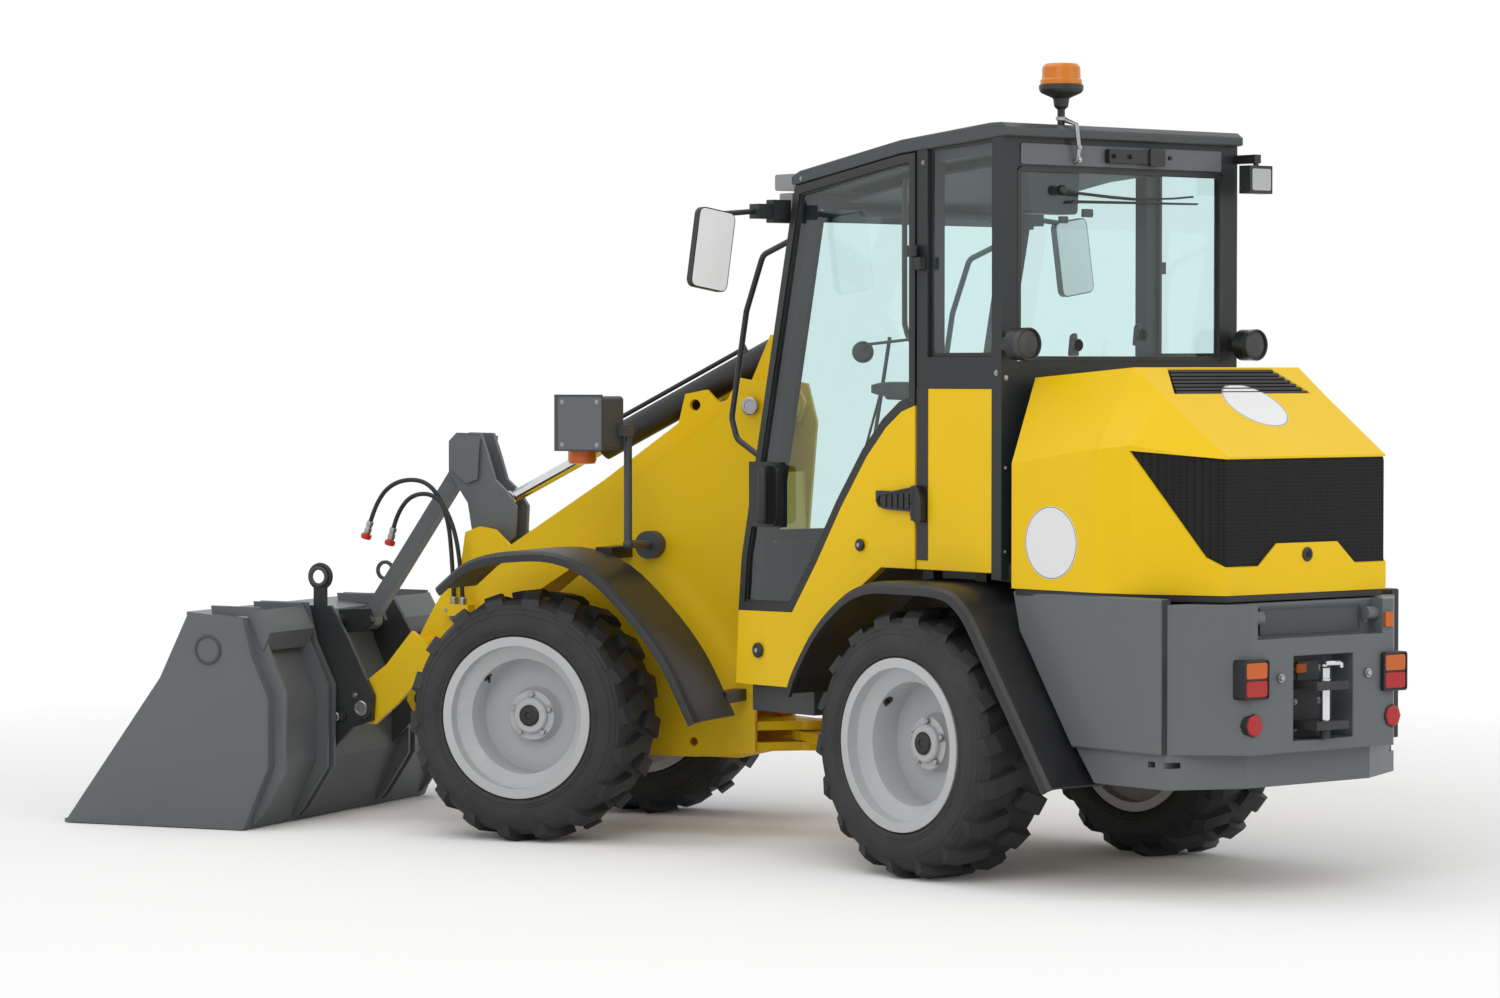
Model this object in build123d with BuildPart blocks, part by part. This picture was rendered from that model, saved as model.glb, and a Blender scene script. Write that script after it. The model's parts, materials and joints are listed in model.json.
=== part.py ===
"""Compact articulated wheel loader: cab and engine on the rear frame, boom and bucket on the front frame.

Everything is drawn in millimetres with the machine straight: X forward from the rear axle, Y to the
left, Z up from the ground. The front frame is then turned about the articulation pivot, as the
machine stands, and the whole is moved so that the origin lies under the middle of its box.
"""
from build123d import *
from math import cos, radians, sin, tan
import os

# Driving dimensions of the running gear
TYRE_RADIUS = 425
TYRE_HALF_WIDTH = 156
CARCASS_RADIUS = 399
HALF_TRACK = 509
AXLE_Z = TYRE_RADIUS
PIVOT_X = 1213
FRONT_AXLE_X = 2021
STEER_ANGLE = 27.9
LUGS_PER_SIDE = 18
LUG_WIDTH = 58
LUG_SLANT = 20
RIM_LIP_RADIUS = 275
BEAD_RADIUS = 252
WELL_RADIUS = 205
RIM_HALF_WIDTH = 150
RIM_WALL = 9
DISC_Y = -30
DISC_THICK = 10
HUB_RADIUS = 55
AXLE_TUBE_RADIUS = 70

# Clearances: a seat, a running pin, and two pieces that move past each other
SEAT = 0.3
RUN = 0.05
PASS = 6

# Frames: two rails each, joined by a double tongue and clevis at the pivot
RAIL_IN = 165
RAIL_OUT = 185
RAIL_TOP = 600
RAIL_LOW = 330
AXLE_PAD_TOP = 520
PIVOT_PIN = 30
TONGUE = 30
TONGUE_Z = (330, 560)
TONGUE_NOSE = 62
BULKHEAD_X = 880
TIE_DOWN = (1570, 322)
TIE_DOWN_RADIUS = 15

# Steering cylinder, from the pivot, with the machine straight
STEER_REAR = (-280, -120)
STEER_FRONT = (130, -95)
STEER_Z = 455

# Cab
CAB_FRONT = 955
CAB_KNEE = (925, 985)
CAB_REAR = -325
CAB_HALF = 485
SKIN = 33
CAB_WALL = 40
CAB_FLOOR = RAIL_TOP
CAB_STEP = 1000
ROOF_FRONT = (655, 2210)
ROOF_MID = (150, 2290)
ROOF_REAR = (CAB_REAR, 2326)
ROOF_NOSE_X = 690
ROOF_THICK = 45
PANE = 6
SCREEN_LOW = 1030
SCREEN_TOP = 2130
SCREEN_HALF = CAB_HALF - 45
REAR_GLASS_HALF = CAB_HALF - SKIN
REAR_GLASS_Z = (1632, 2236)
BELT_LOW = 1545
BELT_HIGH = 1645
B_POST = (20, 70)
DOOR_GAP = 5
DOOR_HINGE_X = 62
DOOR_HINGE_OUT = 14
HINGE_PIN = 8
HINGE_HEIGHTS = (1180, 1960)
DOOR_LOW = 560
DOOR_RIM = 28
TANK_FRONT = 938
TANK_LOW = 470
STRAP_REACH = (190, 40)

# Hood and tail
HOOD_FRONT = -385
HOOD_LOW = 930
HOOD_WALL = 14
HOOD_HINGE = (-368, 1552)
TAIL_X = -1200
SEAM_X = -1030
TAIL_HALF = 310
COVER_HALF = CAB_HALF + SKIN
COVER_TOP = 922
COVER_LOW = 455

# Front frame, boom and linkage: points (X, Z) with the machine straight
BOOM_PIVOT = (1350, 1480)
BUCKET_PIVOT = (2820, 405)
LINK_ARM = (105, 300)
LEVER_TOP = (2525, 1290)
LEVER_PIVOT = (LEVER_TOP[0] - LINK_ARM[0], LEVER_TOP[1] - LINK_ARM[1])
LINK_FOOT = (BUCKET_PIVOT[0] + LINK_ARM[0], BUCKET_PIVOT[1] + LINK_ARM[1])
TILT_REAR = (1300, 1690)
TILT_FRONT = (2370, 1140)
LIFT_LOW = (1620, 400)
LIFT_TOP = (1700, 1180)
BOOM_IN = 110
BOOM_OUT = 130
FOOT_IN = 200
FOOT_OUT = 225
TILT_BARREL = 48
LEVER_IN = 40
LEVER_OUT = 60
EYE_HALF = 30
EAR_IN = 52
EAR_OUT = 72
BOOM_PIN = 30
LINK_PIN = 20
BUCKET_HALF = 690
BUCKET_SHEET = 14
BUCKET_LOW = 3

ALONG = {"x": (0, 90, 0), "y": (90, 0, 0), "z": (0, 0, 0)}


def side_plate(points, y_low, y_high, mode=Mode.ADD):
    """Add a plate drawn in side view (X, Z) between two Y values."""
    with BuildSketch(Plane.XZ.offset(-y_high)) as outline:
        with BuildLine():
            Polyline(*points, close=True)
        make_face()
    extrude(outline.sketch, amount=y_high - y_low, mode=mode)


def deck(points, z_low, z_high, mode=Mode.ADD):
    """Add a plate drawn in plan (X, Y) between two heights."""
    with BuildSketch(Plane.XY.offset(z_low)) as outline:
        with BuildLine():
            Polyline(*points, close=True)
        make_face()
    extrude(outline.sketch, amount=z_high - z_low, mode=mode)


def wall(points, x_low, x_high, mode=Mode.ADD):
    """Add a plate drawn in end view (Y, Z) between two X values."""
    with BuildSketch(Plane.YZ.offset(x_low)) as outline:
        with BuildLine():
            Polyline(*points, close=True)
        make_face()
    extrude(outline.sketch, amount=x_high - x_low, mode=mode)


def block(x, y, z, mode=Mode.ADD):
    """Add a box given by its low and high value along each axis."""
    with Locations(((x[0] + x[1]) / 2, (y[0] + y[1]) / 2, (z[0] + z[1]) / 2)):
        Box(x[1] - x[0], y[1] - y[0], z[1] - z[0], mode=mode)


def round_bar(centre, radius, length, along="y", mode=Mode.ADD):
    """Add a cylinder about a centre, along one axis."""
    with Locations(centre):
        Cylinder(radius, length, rotation=ALONG[along], mode=mode)


def bar_between(start, end, radius, mode=Mode.ADD):
    """Add a round bar from one point to another."""
    run = Vector(*end) - Vector(*start)
    with BuildSketch(Plane(origin=start, z_dir=run)) as section:
        Circle(radius)
    extrude(section.sketch, amount=run.length, mode=mode)


def under_roof(x):
    """Height of the roof's underside at a distance along the cab."""
    front, back = (ROOF_FRONT, ROOF_MID) if x > ROOF_MID[0] else (ROOF_MID, ROOF_REAR)
    return front[1] + (back[1] - front[1]) * (x - front[0]) / (back[0] - front[0])


def on_post(z):
    """Distance along the cab of the front post's outer face at a height above the knee."""
    return ROOF_FRONT[0] + (CAB_KNEE[0] - ROOF_FRONT[0]) * (ROOF_FRONT[1] - z) / (ROOF_FRONT[1] - CAB_KNEE[1])


def at_side(point, y=0):
    """A side-view point (X, Z) as a point in space."""
    return (point[0], y, point[1])


# One tyre lug on top of the tyre: profile across the tread (Y, Z), from the middle to the shoulder
LUG_PROFILE = [(12, 392), (12, TYRE_RADIUS), (112, TYRE_RADIUS - 4), (148, 402), (155, 368), (130, 376)]
with BuildPart() as lug:
    wall(LUG_PROFILE, -LUG_WIDTH / 2, LUG_WIDTH / 2)

with BuildPart() as tyre:
    with BuildSketch(Plane.XY):
        with BuildLine():
            low = Polyline(
                (BEAD_RADIUS + SEAT, -RIM_HALF_WIDTH + RIM_WALL + SEAT),
                (RIM_LIP_RADIUS + 2, -RIM_HALF_WIDTH + RIM_WALL + SEAT),
                (RIM_LIP_RADIUS + 8, -RIM_HALF_WIDTH + 1),
            )
            ThreePointArc(low @ 1, (338, -TYRE_HALF_WIDTH), (382, -142))
            Polyline((382, -142), (CARCASS_RADIUS, -116), (CARCASS_RADIUS, 116), (382, 142))
            high = Polyline(
                (RIM_LIP_RADIUS + 8, RIM_HALF_WIDTH - 1),
                (RIM_LIP_RADIUS + 2, RIM_HALF_WIDTH - RIM_WALL - SEAT),
                (BEAD_RADIUS + SEAT, RIM_HALF_WIDTH - RIM_WALL - SEAT),
            )
            ThreePointArc((382, 142), (338, TYRE_HALF_WIDTH), high @ 0)
            Line(high @ 1, low @ 0)
        make_face()
    revolve(axis=Axis.Y)
    pitch = 360 / LUGS_PER_SIDE
    places = []
    for index in range(LUGS_PER_SIDE):
        for step, turn in ((index, LUG_SLANT), (index + 0.5, 180 - LUG_SLANT)):
            places.append(Location((0, 0, 0), (0, step * pitch, 0)) * Location((0, 0, 0), (0, 0, turn)))
    with Locations(*places):
        add(lug.part)

with BuildPart() as rim:
    with BuildSketch(Plane.XY):
        with BuildLine():
            Polyline(
                (RIM_LIP_RADIUS, -RIM_HALF_WIDTH),
                (RIM_LIP_RADIUS, -RIM_HALF_WIDTH + RIM_WALL),
                (BEAD_RADIUS, -RIM_HALF_WIDTH + RIM_WALL),
                (BEAD_RADIUS, -104),
                (WELL_RADIUS, -80),
                (WELL_RADIUS, 80),
                (BEAD_RADIUS, 104),
                (BEAD_RADIUS, RIM_HALF_WIDTH - RIM_WALL),
                (RIM_LIP_RADIUS, RIM_HALF_WIDTH - RIM_WALL),
                (RIM_LIP_RADIUS, RIM_HALF_WIDTH),
                (BEAD_RADIUS - RIM_WALL, RIM_HALF_WIDTH),
                (BEAD_RADIUS - RIM_WALL, 109),
                (WELL_RADIUS - RIM_WALL, 85),
                (WELL_RADIUS - RIM_WALL, DISC_Y + DISC_THICK),
                (HUB_RADIUS + 40, DISC_Y + DISC_THICK),
                (HUB_RADIUS + 22, DISC_Y + 50),
                (HUB_RADIUS, DISC_Y + 50),
                (HUB_RADIUS, DISC_Y),
                (WELL_RADIUS - RIM_WALL, DISC_Y),
                (WELL_RADIUS - RIM_WALL, -85),
                (BEAD_RADIUS - RIM_WALL, -109),
                (BEAD_RADIUS - RIM_WALL, -RIM_HALF_WIDTH),
                close=True,
            )
        make_face()
    revolve(axis=Axis.Y)


def axle(x):
    """A rigid axle under one frame, with its differential, hub flanges and mounting pads."""
    flange_y = HALF_TRACK + DISC_Y - SEAT
    with BuildPart() as beam:
        round_bar((x, 0, AXLE_Z), AXLE_TUBE_RADIUS, 2 * (flange_y - 60))
        with Locations((x, 0, AXLE_Z)):
            Sphere(125)
        for side in (1, -1):
            round_bar((x, side * (flange_y - 45), AXLE_Z), 150, 90)
            hub_end = HALF_TRACK + DISC_Y + 70
            round_bar((x, side * (hub_end + flange_y) / 2, AXLE_Z), HUB_RADIUS - RUN, hub_end - flange_y)
            rail_middle = side * (RAIL_IN + RAIL_OUT) / 2
            block((x - 60, x + 60), (rail_middle - 25, rail_middle + 25), (AXLE_Z, AXLE_PAD_TOP))
    return beam


rear_axle = axle(0)
front_axle = axle(FRONT_AXLE_X)

# Rear frame
REAR_RAIL = [
    (SEAM_X, RAIL_TOP), (SEAM_X, 430), (-260, 430), (-200, AXLE_PAD_TOP), (200, AXLE_PAD_TOP),
    (260, 380), (330, RAIL_LOW), (BULKHEAD_X, RAIL_LOW), (BULKHEAD_X, RAIL_TOP),
]
with BuildPart() as rear_chassis:
    side_plate(REAR_RAIL, RAIL_IN, RAIL_OUT)
    side_plate(REAR_RAIL, -RAIL_OUT, -RAIL_IN)
    block((BULKHEAD_X - 20, BULKHEAD_X), (-RAIL_OUT, RAIL_OUT), (RAIL_LOW, RAIL_TOP))
    block((SEAM_X, -300), (-RAIL_OUT, RAIL_OUT), (RAIL_TOP - 12, RAIL_TOP))
    block((SEAM_X, SEAM_X + 20), (-RAIL_OUT, RAIL_OUT), (430, RAIL_TOP))
    for low in TONGUE_Z:
        tongue = [(BULKHEAD_X, RAIL_OUT), (PIVOT_X, 55), (PIVOT_X, -55), (BULKHEAD_X, -RAIL_OUT)]
        deck(tongue, low, low + TONGUE)
        round_bar((PIVOT_X, 0, low + TONGUE / 2), TONGUE_NOSE, TONGUE, "z")
        round_bar((PIVOT_X, 0, low + TONGUE / 2), PIVOT_PIN + RUN, TONGUE, "z", Mode.SUBTRACT)
    steer_x = PIVOT_X + STEER_REAR[0]
    for z in (STEER_Z - 20 - PASS - 14, STEER_Z + 20 + PASS):
        block((BULKHEAD_X, steer_x + 20), (STEER_REAR[1] - 30, STEER_REAR[1] + 30), (z, z + 14))
    round_bar((steer_x, STEER_REAR[1], STEER_Z), 12, 70, "z")

with BuildPart() as engine_block:
    block((-960, -460), (-RAIL_OUT, RAIL_OUT), (RAIL_TOP, 1250))
    chamfer(engine_block.edges().group_by(Axis.Z)[-1], 40)

# Counterweight casting: plan outline, then the recesses in its rear face
WEIGHT_PLAN = [
    (SEAM_X, 500), (TAIL_X, TAIL_HALF), (TAIL_X, -TAIL_HALF), (SEAM_X, -500),
]
LEDGE_PLAN = [(SEAM_X, 500), (-1140, 270), (-1140, -270), (SEAM_X, -500)]
with BuildPart() as counterweight:
    deck(WEIGHT_PLAN, COVER_LOW, 905)
    deck(LEDGE_PLAN, 350, COVER_LOW)
    for side in (1, -1):
        ledge = [(SEAM_X, 350), (-722, 350), (-640, COVER_LOW), (SEAM_X, COVER_LOW)]
        side_plate(ledge, *sorted((side * 300, side * 500)))
    block((TAIL_X - 1, TAIL_X + 90), (-130, 130), (490, 745), Mode.SUBTRACT)
    block((TAIL_X - 1, TAIL_X + 50), (-260, 285), (800, 906), Mode.SUBTRACT)
    for side in (1, -1):
        for x in (-1050, -985):
            slot_y = sorted((side * 430, side * 500))
            block((x, x + 30), slot_y, (COVER_LOW - 40, COVER_LOW - 22), Mode.SUBTRACT)
        for y in (262, -236):
            round_bar((TAIL_X + 32, y, 862), 20, 46)
    for y, z in ((-190, 682), (190, 682)):
        round_bar((TAIL_X, y, z), 14, 12, "x")

with BuildPart() as side_covers:
    side_plate(
        [(SEAM_X, COVER_TOP), (SEAM_X, COVER_LOW), (-640, COVER_LOW), (-412, 790), (-380, COVER_TOP)],
        COVER_HALF - SKIN, COVER_HALF,
    )
    mirror(about=Plane.XZ)

with BuildPart() as tow_hitch:
    jaw_x = (TAIL_X - 40, TAIL_X + 90)
    block(jaw_x, (-70, 70), (520, 545))
    block(jaw_x, (-70, 70), (640, 665))
    block((TAIL_X + 70, TAIL_X + 90), (-70, 70), (490, 745))
    round_bar((TAIL_X - 5, 0, 600), 15, 220, "z")
    round_bar((TAIL_X - 5, -30, 716), 8, 76, "y")

LAMP_Y = 285
with BuildPart() as tail_lamps:
    for side in (1, -1):
        with BuildSketch(Plane.YZ.offset(TAIL_X - 18)) as lens:
            with Locations((side * LAMP_Y, 682)):
                RectangleRounded(60, 105, 12)
        extrude(lens.sketch, amount=18)
        with BuildSketch(Plane.YZ.offset(TAIL_X - 10)) as reflector:
            with Locations((side * LAMP_Y, 545)):
                RegularPolygon(36, 8, rotation=22.5)
        extrude(reflector.sketch, amount=10)

# Arched fenders: side-view line of the outer face, from the front edge over the wheel to the rear
REAR_ARCH = [
    (560, 560), (530, 632), (405, 800), (200, 938), (-230, 938), (-330, 870), (-395, 780), (-700, 343),
]
FRONT_ARCH = [(2330, 863), (2190, 982), (1790, 1005), (1480, 700), (1345, 434)]
FENDER_THICK = 12
FENDER_LIP = 16
FENDER_IN = 348
FENDER_OUT = 668


def arch(line, y_low, y_high, thick):
    """Add a bent sheet that follows a side-view line, with its thickness inside the line."""
    with BuildSketch(Plane.XZ.offset(-y_high)) as section:
        with BuildLine():
            Polyline(*line)
            offset(amount=thick, side=Side.LEFT)
        make_face()
    extrude(section.sketch, amount=y_high - y_low)


with BuildPart() as rear_fenders:
    arch(REAR_ARCH, FENDER_IN, FENDER_OUT, FENDER_THICK)
    arch(REAR_ARCH, FENDER_OUT - FENDER_LIP, FENDER_OUT, 3 * FENDER_THICK)
    for x in (-150, 100):
        block((x, x + 50), (380, 420), (930, CAB_STEP))
    mirror(about=Plane.XZ)

with BuildPart() as front_fenders:
    arch(FRONT_ARCH, FENDER_IN, FENDER_OUT, FENDER_THICK)
    arch(FRONT_ARCH, FENDER_OUT - FENDER_LIP, FENDER_OUT, 3 * FENDER_THICK)
    block((1800, 1860), (RAIL_OUT, 360), (955, 995))
    block((1372, 1420), (RAIL_OUT, 360), (470, 510))
    mirror(about=Plane.XZ)

# Cab: a ring in side view, open at both sides
CAB_RING = [
    (CAB_FRONT, CAB_FLOOR), CAB_KNEE, ROOF_FRONT, ROOF_MID, ROOF_REAR, (CAB_REAR, CAB_STEP),
    (270, CAB_STEP), (470, 850), (600, CAB_FLOOR),
]
with BuildPart() as cab_frame:
    side_plate(CAB_RING, -CAB_HALF, CAB_HALF)
    with BuildSketch(Plane.XZ.offset(-CAB_HALF)) as inside:
        with BuildLine():
            Polyline(*CAB_RING, close=True)
        make_face()
        offset(amount=-CAB_WALL, kind=Kind.INTERSECTION, mode=Mode.REPLACE)
    extrude(inside.sketch, amount=2 * CAB_HALF, mode=Mode.SUBTRACT)
    side_plate([(985, SCREEN_LOW), (985, SCREEN_TOP), (500, SCREEN_TOP), (820, SCREEN_LOW)],
               -SCREEN_HALF, SCREEN_HALF, Mode.SUBTRACT)
    block((CAB_REAR - 1, CAB_REAR + CAB_WALL + 1), (-REAR_GLASS_HALF, REAR_GLASS_HALF), REAR_GLASS_Z,
          Mode.SUBTRACT)
    block((-260, 560), (85 - CAB_HALF, CAB_HALF - 85), (2150, 2400), Mode.SUBTRACT)
    for side in (1, -1):
        inner = sorted((side * (CAB_HALF - 40), side * CAB_HALF))
        outer = sorted((side * CAB_HALF, side * (CAB_HALF + SKIN)))
        post = [
            (B_POST[0], CAB_STEP + 20), (B_POST[1], CAB_STEP + 20), (B_POST[1], under_roof(B_POST[1])),
            (B_POST[0], under_roof(B_POST[0])),
        ]
        side_plate(post, *inner)
        block((CAB_REAR, B_POST[1]), outer, (BELT_LOW, BELT_HIGH))
        block((CAB_REAR, CAB_REAR + 45), outer, (COVER_TOP + 30, BELT_LOW))
        for low_x, high_x in ((CAB_REAR, CAB_REAR + 45), B_POST):
            upper = [
                (low_x, BELT_HIGH), (high_x, BELT_HIGH), (high_x, under_roof(high_x)),
                (low_x, under_roof(low_x)),
            ]
            side_plate(upper, *outer)
        lug_y = sorted((side * 300, side * 330))
        block((HOOD_HINGE[0] - 8, CAB_REAR), lug_y, (HOOD_HINGE[1] - 14, HOOD_HINGE[1] + 14))
        round_bar(at_side(HOOD_HINGE, side * 330), HINGE_PIN, 60)

with BuildPart() as cab_roof:
    side_plate(
        [
            ROOF_FRONT, ROOF_MID, ROOF_REAR, (CAB_REAR - 25, ROOF_REAR[1] + 2),
            (CAB_REAR - 25, ROOF_REAR[1] + 28), (CAB_REAR, ROOF_REAR[1] + ROOF_THICK),
            (CAB_REAR + 60, ROOF_REAR[1] + ROOF_THICK),
            (ROOF_MID[0], ROOF_MID[1] + ROOF_THICK), (ROOF_FRONT[0] - 10, ROOF_FRONT[1] + ROOF_THICK),
            (ROOF_NOSE_X, ROOF_FRONT[1] + 25), (ROOF_NOSE_X, ROOF_FRONT[1]),
        ],
        -CAB_HALF - SKIN, CAB_HALF + SKIN,
    )

with BuildPart() as side_panels:
    panel = [
        (CAB_REAR + 45, BELT_LOW), (CAB_REAR + 45, 972), (B_POST[1], 972), (B_POST[1], BELT_LOW),
    ]
    side_plate(panel, CAB_HALF, CAB_HALF + SKIN)
    mirror(about=Plane.XZ)

with BuildPart() as windscreen:
    slope = (CAB_KNEE[0] - ROOF_FRONT[0]) / (ROOF_FRONT[1] - CAB_KNEE[1])
    low_x = CAB_KNEE[0] - 15 - slope * (SCREEN_LOW - CAB_KNEE[1])
    high_x = CAB_KNEE[0] - 15 - slope * (SCREEN_TOP - CAB_KNEE[1])
    side_plate([(low_x, SCREEN_LOW), (low_x - PANE, SCREEN_LOW), (high_x - PANE, SCREEN_TOP),
                (high_x, SCREEN_TOP)], -SCREEN_HALF, SCREEN_HALF)

with BuildPart() as rear_window:
    block((CAB_REAR + 10, CAB_REAR + 10 + PANE), (-REAR_GLASS_HALF, REAR_GLASS_HALF), REAR_GLASS_Z)

with BuildPart() as quarter_windows:
    side_plate(
        [
            (CAB_REAR + 45, BELT_HIGH), (B_POST[0], BELT_HIGH), (B_POST[0], under_roof(B_POST[0])),
            (CAB_REAR + 45, under_roof(CAB_REAR + 45)),
        ],
        CAB_HALF + 12, CAB_HALF + 12 + PANE,
    )
    mirror(about=Plane.XZ)

# Doors in side view: the curved line between the painted panel and the window frame, the panel's
# outline below it and the frame's outline above it
DOOR_EDGE_X = B_POST[1] + DOOR_GAP
PANEL_TOP = [
    (960, 805), (683, 809), (560, 975), (436, 1160), (310, 1325), (215, 1420), (140, 1472),
    (DOOR_EDGE_X, 1492),
]
DOOR_PANEL = PANEL_TOP + [
    (DOOR_EDGE_X, 972), (238, 972), (480, 812), (590, 655), (606, DOOR_LOW), (975, DOOR_LOW),
]
DOOR_FRAME = PANEL_TOP + [(DOOR_EDGE_X, 2291), (150, 2285), (668, 2203), (943, 985)]
LOCK_X = (745, 905)
LOCK_Z = (1085, 1300)


def door_glazing(y_low, y_high, mode=Mode.ADD):
    """Add the window's form, which lies inside the door's frame by the width of its rim."""
    with BuildSketch(Plane.XZ.offset(-y_high)) as opening:
        with BuildLine():
            Polyline(*DOOR_FRAME, close=True)
        make_face()
        offset(amount=-DOOR_RIM, kind=Kind.INTERSECTION, mode=Mode.REPLACE)
    extrude(opening.sketch, amount=y_high - y_low, mode=mode)


def door_faces(side):
    """Low and high Y of a door's thickness, and its outer face; side is 1 on the left."""
    inner = side * (CAB_HALF + DOOR_GAP)
    outer = side * (CAB_HALF + DOOR_GAP + SKIN)
    return min(inner, outer), max(inner, outer), outer


def door(side):
    """The painted lower panel of one cab door."""
    low, high, _ = door_faces(side)
    with BuildPart() as leaf:
        side_plate(DOOR_PANEL, low, high)
    return leaf


def door_frame(side):
    """A door's window frame with its lock case and handle, its hinge straps and its two round locks."""
    low, high, outer = door_faces(side)
    with BuildPart() as frame:
        side_plate(DOOR_FRAME, low, high)
        door_glazing(low, high, Mode.SUBTRACT)
        block(LOCK_X, (low, high), LOCK_Z)
        for z in (LOCK_Z[0] + 12, LOCK_Z[1] - 42):
            block((LOCK_X[0] + 18, LOCK_X[0] + 52), sorted((outer, outer + side * 45)), (z, z + 30))
        handle_y = sorted((outer + side * 28, outer + side * 45))
        block((LOCK_X[0] + 18, LOCK_X[0] + 52), handle_y, (LOCK_Z[0] + 12, LOCK_Z[1] - 12))
        strap = sorted((outer, outer + side * 10))
        for z, reach in zip(HINGE_HEIGHTS, STRAP_REACH):
            block((DOOR_HINGE_X, DOOR_HINGE_X + reach), strap, (z + 2, z + 38))
            hinge = (DOOR_HINGE_X, outer + side * DOOR_HINGE_OUT, z + 20)
            round_bar(hinge, HINGE_PIN + 5, 36, "z")
            round_bar(hinge, HINGE_PIN + RUN, 36, "z", Mode.SUBTRACT)
        for x, z, radius in ((333, 1041, 16), (850, 676, 20)):
            round_bar((x, outer + side * 5, z), radius, 10)
    return frame


def door_pane(side):
    """The glass that fills a door's window frame, cut out round the lock case."""
    low, high, _ = door_faces(side)
    middle = (low + high) / 2
    with BuildPart() as pane:
        door_glazing(middle - PANE / 2, middle + PANE / 2)
        block(LOCK_X, (low, high), LOCK_Z, Mode.SUBTRACT)
    return pane


with BuildPart() as door_hinges:
    for side in (1, -1):
        panel_face = side * (CAB_HALF + SKIN)
        pin_y = side * (CAB_HALF + DOOR_GAP + SKIN + DOOR_HINGE_OUT)
        for z in HINGE_HEIGHTS:
            block((DOOR_HINGE_X - 35, DOOR_HINGE_X), sorted((panel_face, pin_y + side * 8)), (z - 40, z))
            round_bar((DOOR_HINGE_X, pin_y, z - 20), HINGE_PIN + 5, 40, "z")
            round_bar((DOOR_HINGE_X, pin_y, z + 20), HINGE_PIN, 40, "z")

door_left = door(1)
door_right = door(-1)
door_left_frame = door_frame(1)
door_right_frame = door_frame(-1)
door_left_glass = door_pane(1)
door_right_glass = door_pane(-1)

# Inside the cab
WHEEL_CENTRE = (610, 0, 1330)
with BuildPart() as seat:
    block((20, 470), (-240, 240), (CAB_STEP + CAB_WALL, CAB_STEP + 150))
    side_plate([(20, 1150), (-90, 1780), (-170, 1780), (-70, 1060), (20, 1060)], -220, 220)
with BuildPart() as dash:
    block((740, 860), (-160, 160), (CAB_FLOOR + CAB_WALL, 1120))
    bar_between((770, 0, 1040), WHEEL_CENTRE, 22)
with BuildPart() as steering_wheel:
    with BuildSketch(Plane(origin=WHEEL_CENTRE, z_dir=Vector(*WHEEL_CENTRE) - Vector(770, 0, 1040))) as ring:
        Circle(190)
        Circle(160, mode=Mode.SUBTRACT)
        Rectangle(330, 34)
    extrude(ring.sketch, amount=24)
with BuildPart() as console:
    block((60, 420), (55 - CAB_HALF, 195 - CAB_HALF), (CAB_STEP + CAB_WALL, 1240))
    bar_between((360, 125 - CAB_HALF, 1235), (375, 125 - CAB_HALF, 1370), 16)

# Outside the cab
BEACON_Y = 243
BEACON_X = -300
BEACON_FOOT = ROOF_REAR[1] + ROOF_THICK
BEACON_STEM = 126
BEACON_CUP = BEACON_FOOT + BEACON_STEM
BEACON_CUP_RADIUS = 70
BEACON_LENS_RADIUS = BEACON_CUP_RADIUS - 4


def turned_at_beacon(profile):
    """Add a form turned about the beacon's stalk, from its profile (radius, Z)."""
    with BuildSketch(Plane.XZ) as half:
        with BuildLine():
            Polyline(*profile, close=True)
        make_face()
    whole = revolve(half.sketch, axis=Axis.Z, mode=Mode.PRIVATE)
    with Locations((BEACON_X, BEACON_Y, 0)):
        add(whole)


with BuildPart() as beacon_base:
    turned_at_beacon([
        (0, BEACON_FOOT), (12, BEACON_FOOT), (12, BEACON_CUP - 77), (22, BEACON_CUP - 69),
        (26, BEACON_CUP - 42), (BEACON_CUP_RADIUS - 6, BEACON_CUP - 25), (BEACON_CUP_RADIUS, BEACON_CUP - 15),
        (BEACON_CUP_RADIUS, BEACON_CUP), (0, BEACON_CUP),
    ])
with BuildPart() as beacon:
    turned_at_beacon([
        (0, BEACON_CUP), (BEACON_LENS_RADIUS, BEACON_CUP), (BEACON_LENS_RADIUS, BEACON_CUP + 15),
        (BEACON_LENS_RADIUS - 5, BEACON_CUP + 19), (BEACON_LENS_RADIUS - 6, BEACON_CUP + 55),
        (BEACON_LENS_RADIUS - 16, BEACON_CUP + 66), (0, BEACON_CUP + 69),
    ])
with BuildPart() as work_lights:
    for side in (1, -1):
        lamp_y = side * (CAB_HALF + 15)
        block((CAB_REAR - 45, CAB_REAR), (lamp_y - 20, lamp_y + 20), (1665, 1705))
        round_bar((CAB_REAR - 72, lamp_y, 1684), 50, 56, "x")
        block((ROOF_NOSE_X, ROOF_NOSE_X + 55), (side * 300 - 60, side * 300 + 60), (2145, 2240))
    corner_y = -CAB_HALF - 30
    block((CAB_REAR - 95, CAB_REAR), (corner_y - 14, corner_y + 14), (2270, 2298))
    block((CAB_REAR - 110, CAB_REAR - 62), (corner_y - 52, corner_y + 52), (2172, 2262))
    bar_between((CAB_REAR - 86, corner_y, 2255), (CAB_REAR - 86, corner_y, 2280), 9)
BRACKET_X = 745
BRACKET_Z = (2085, 2160)
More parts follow.
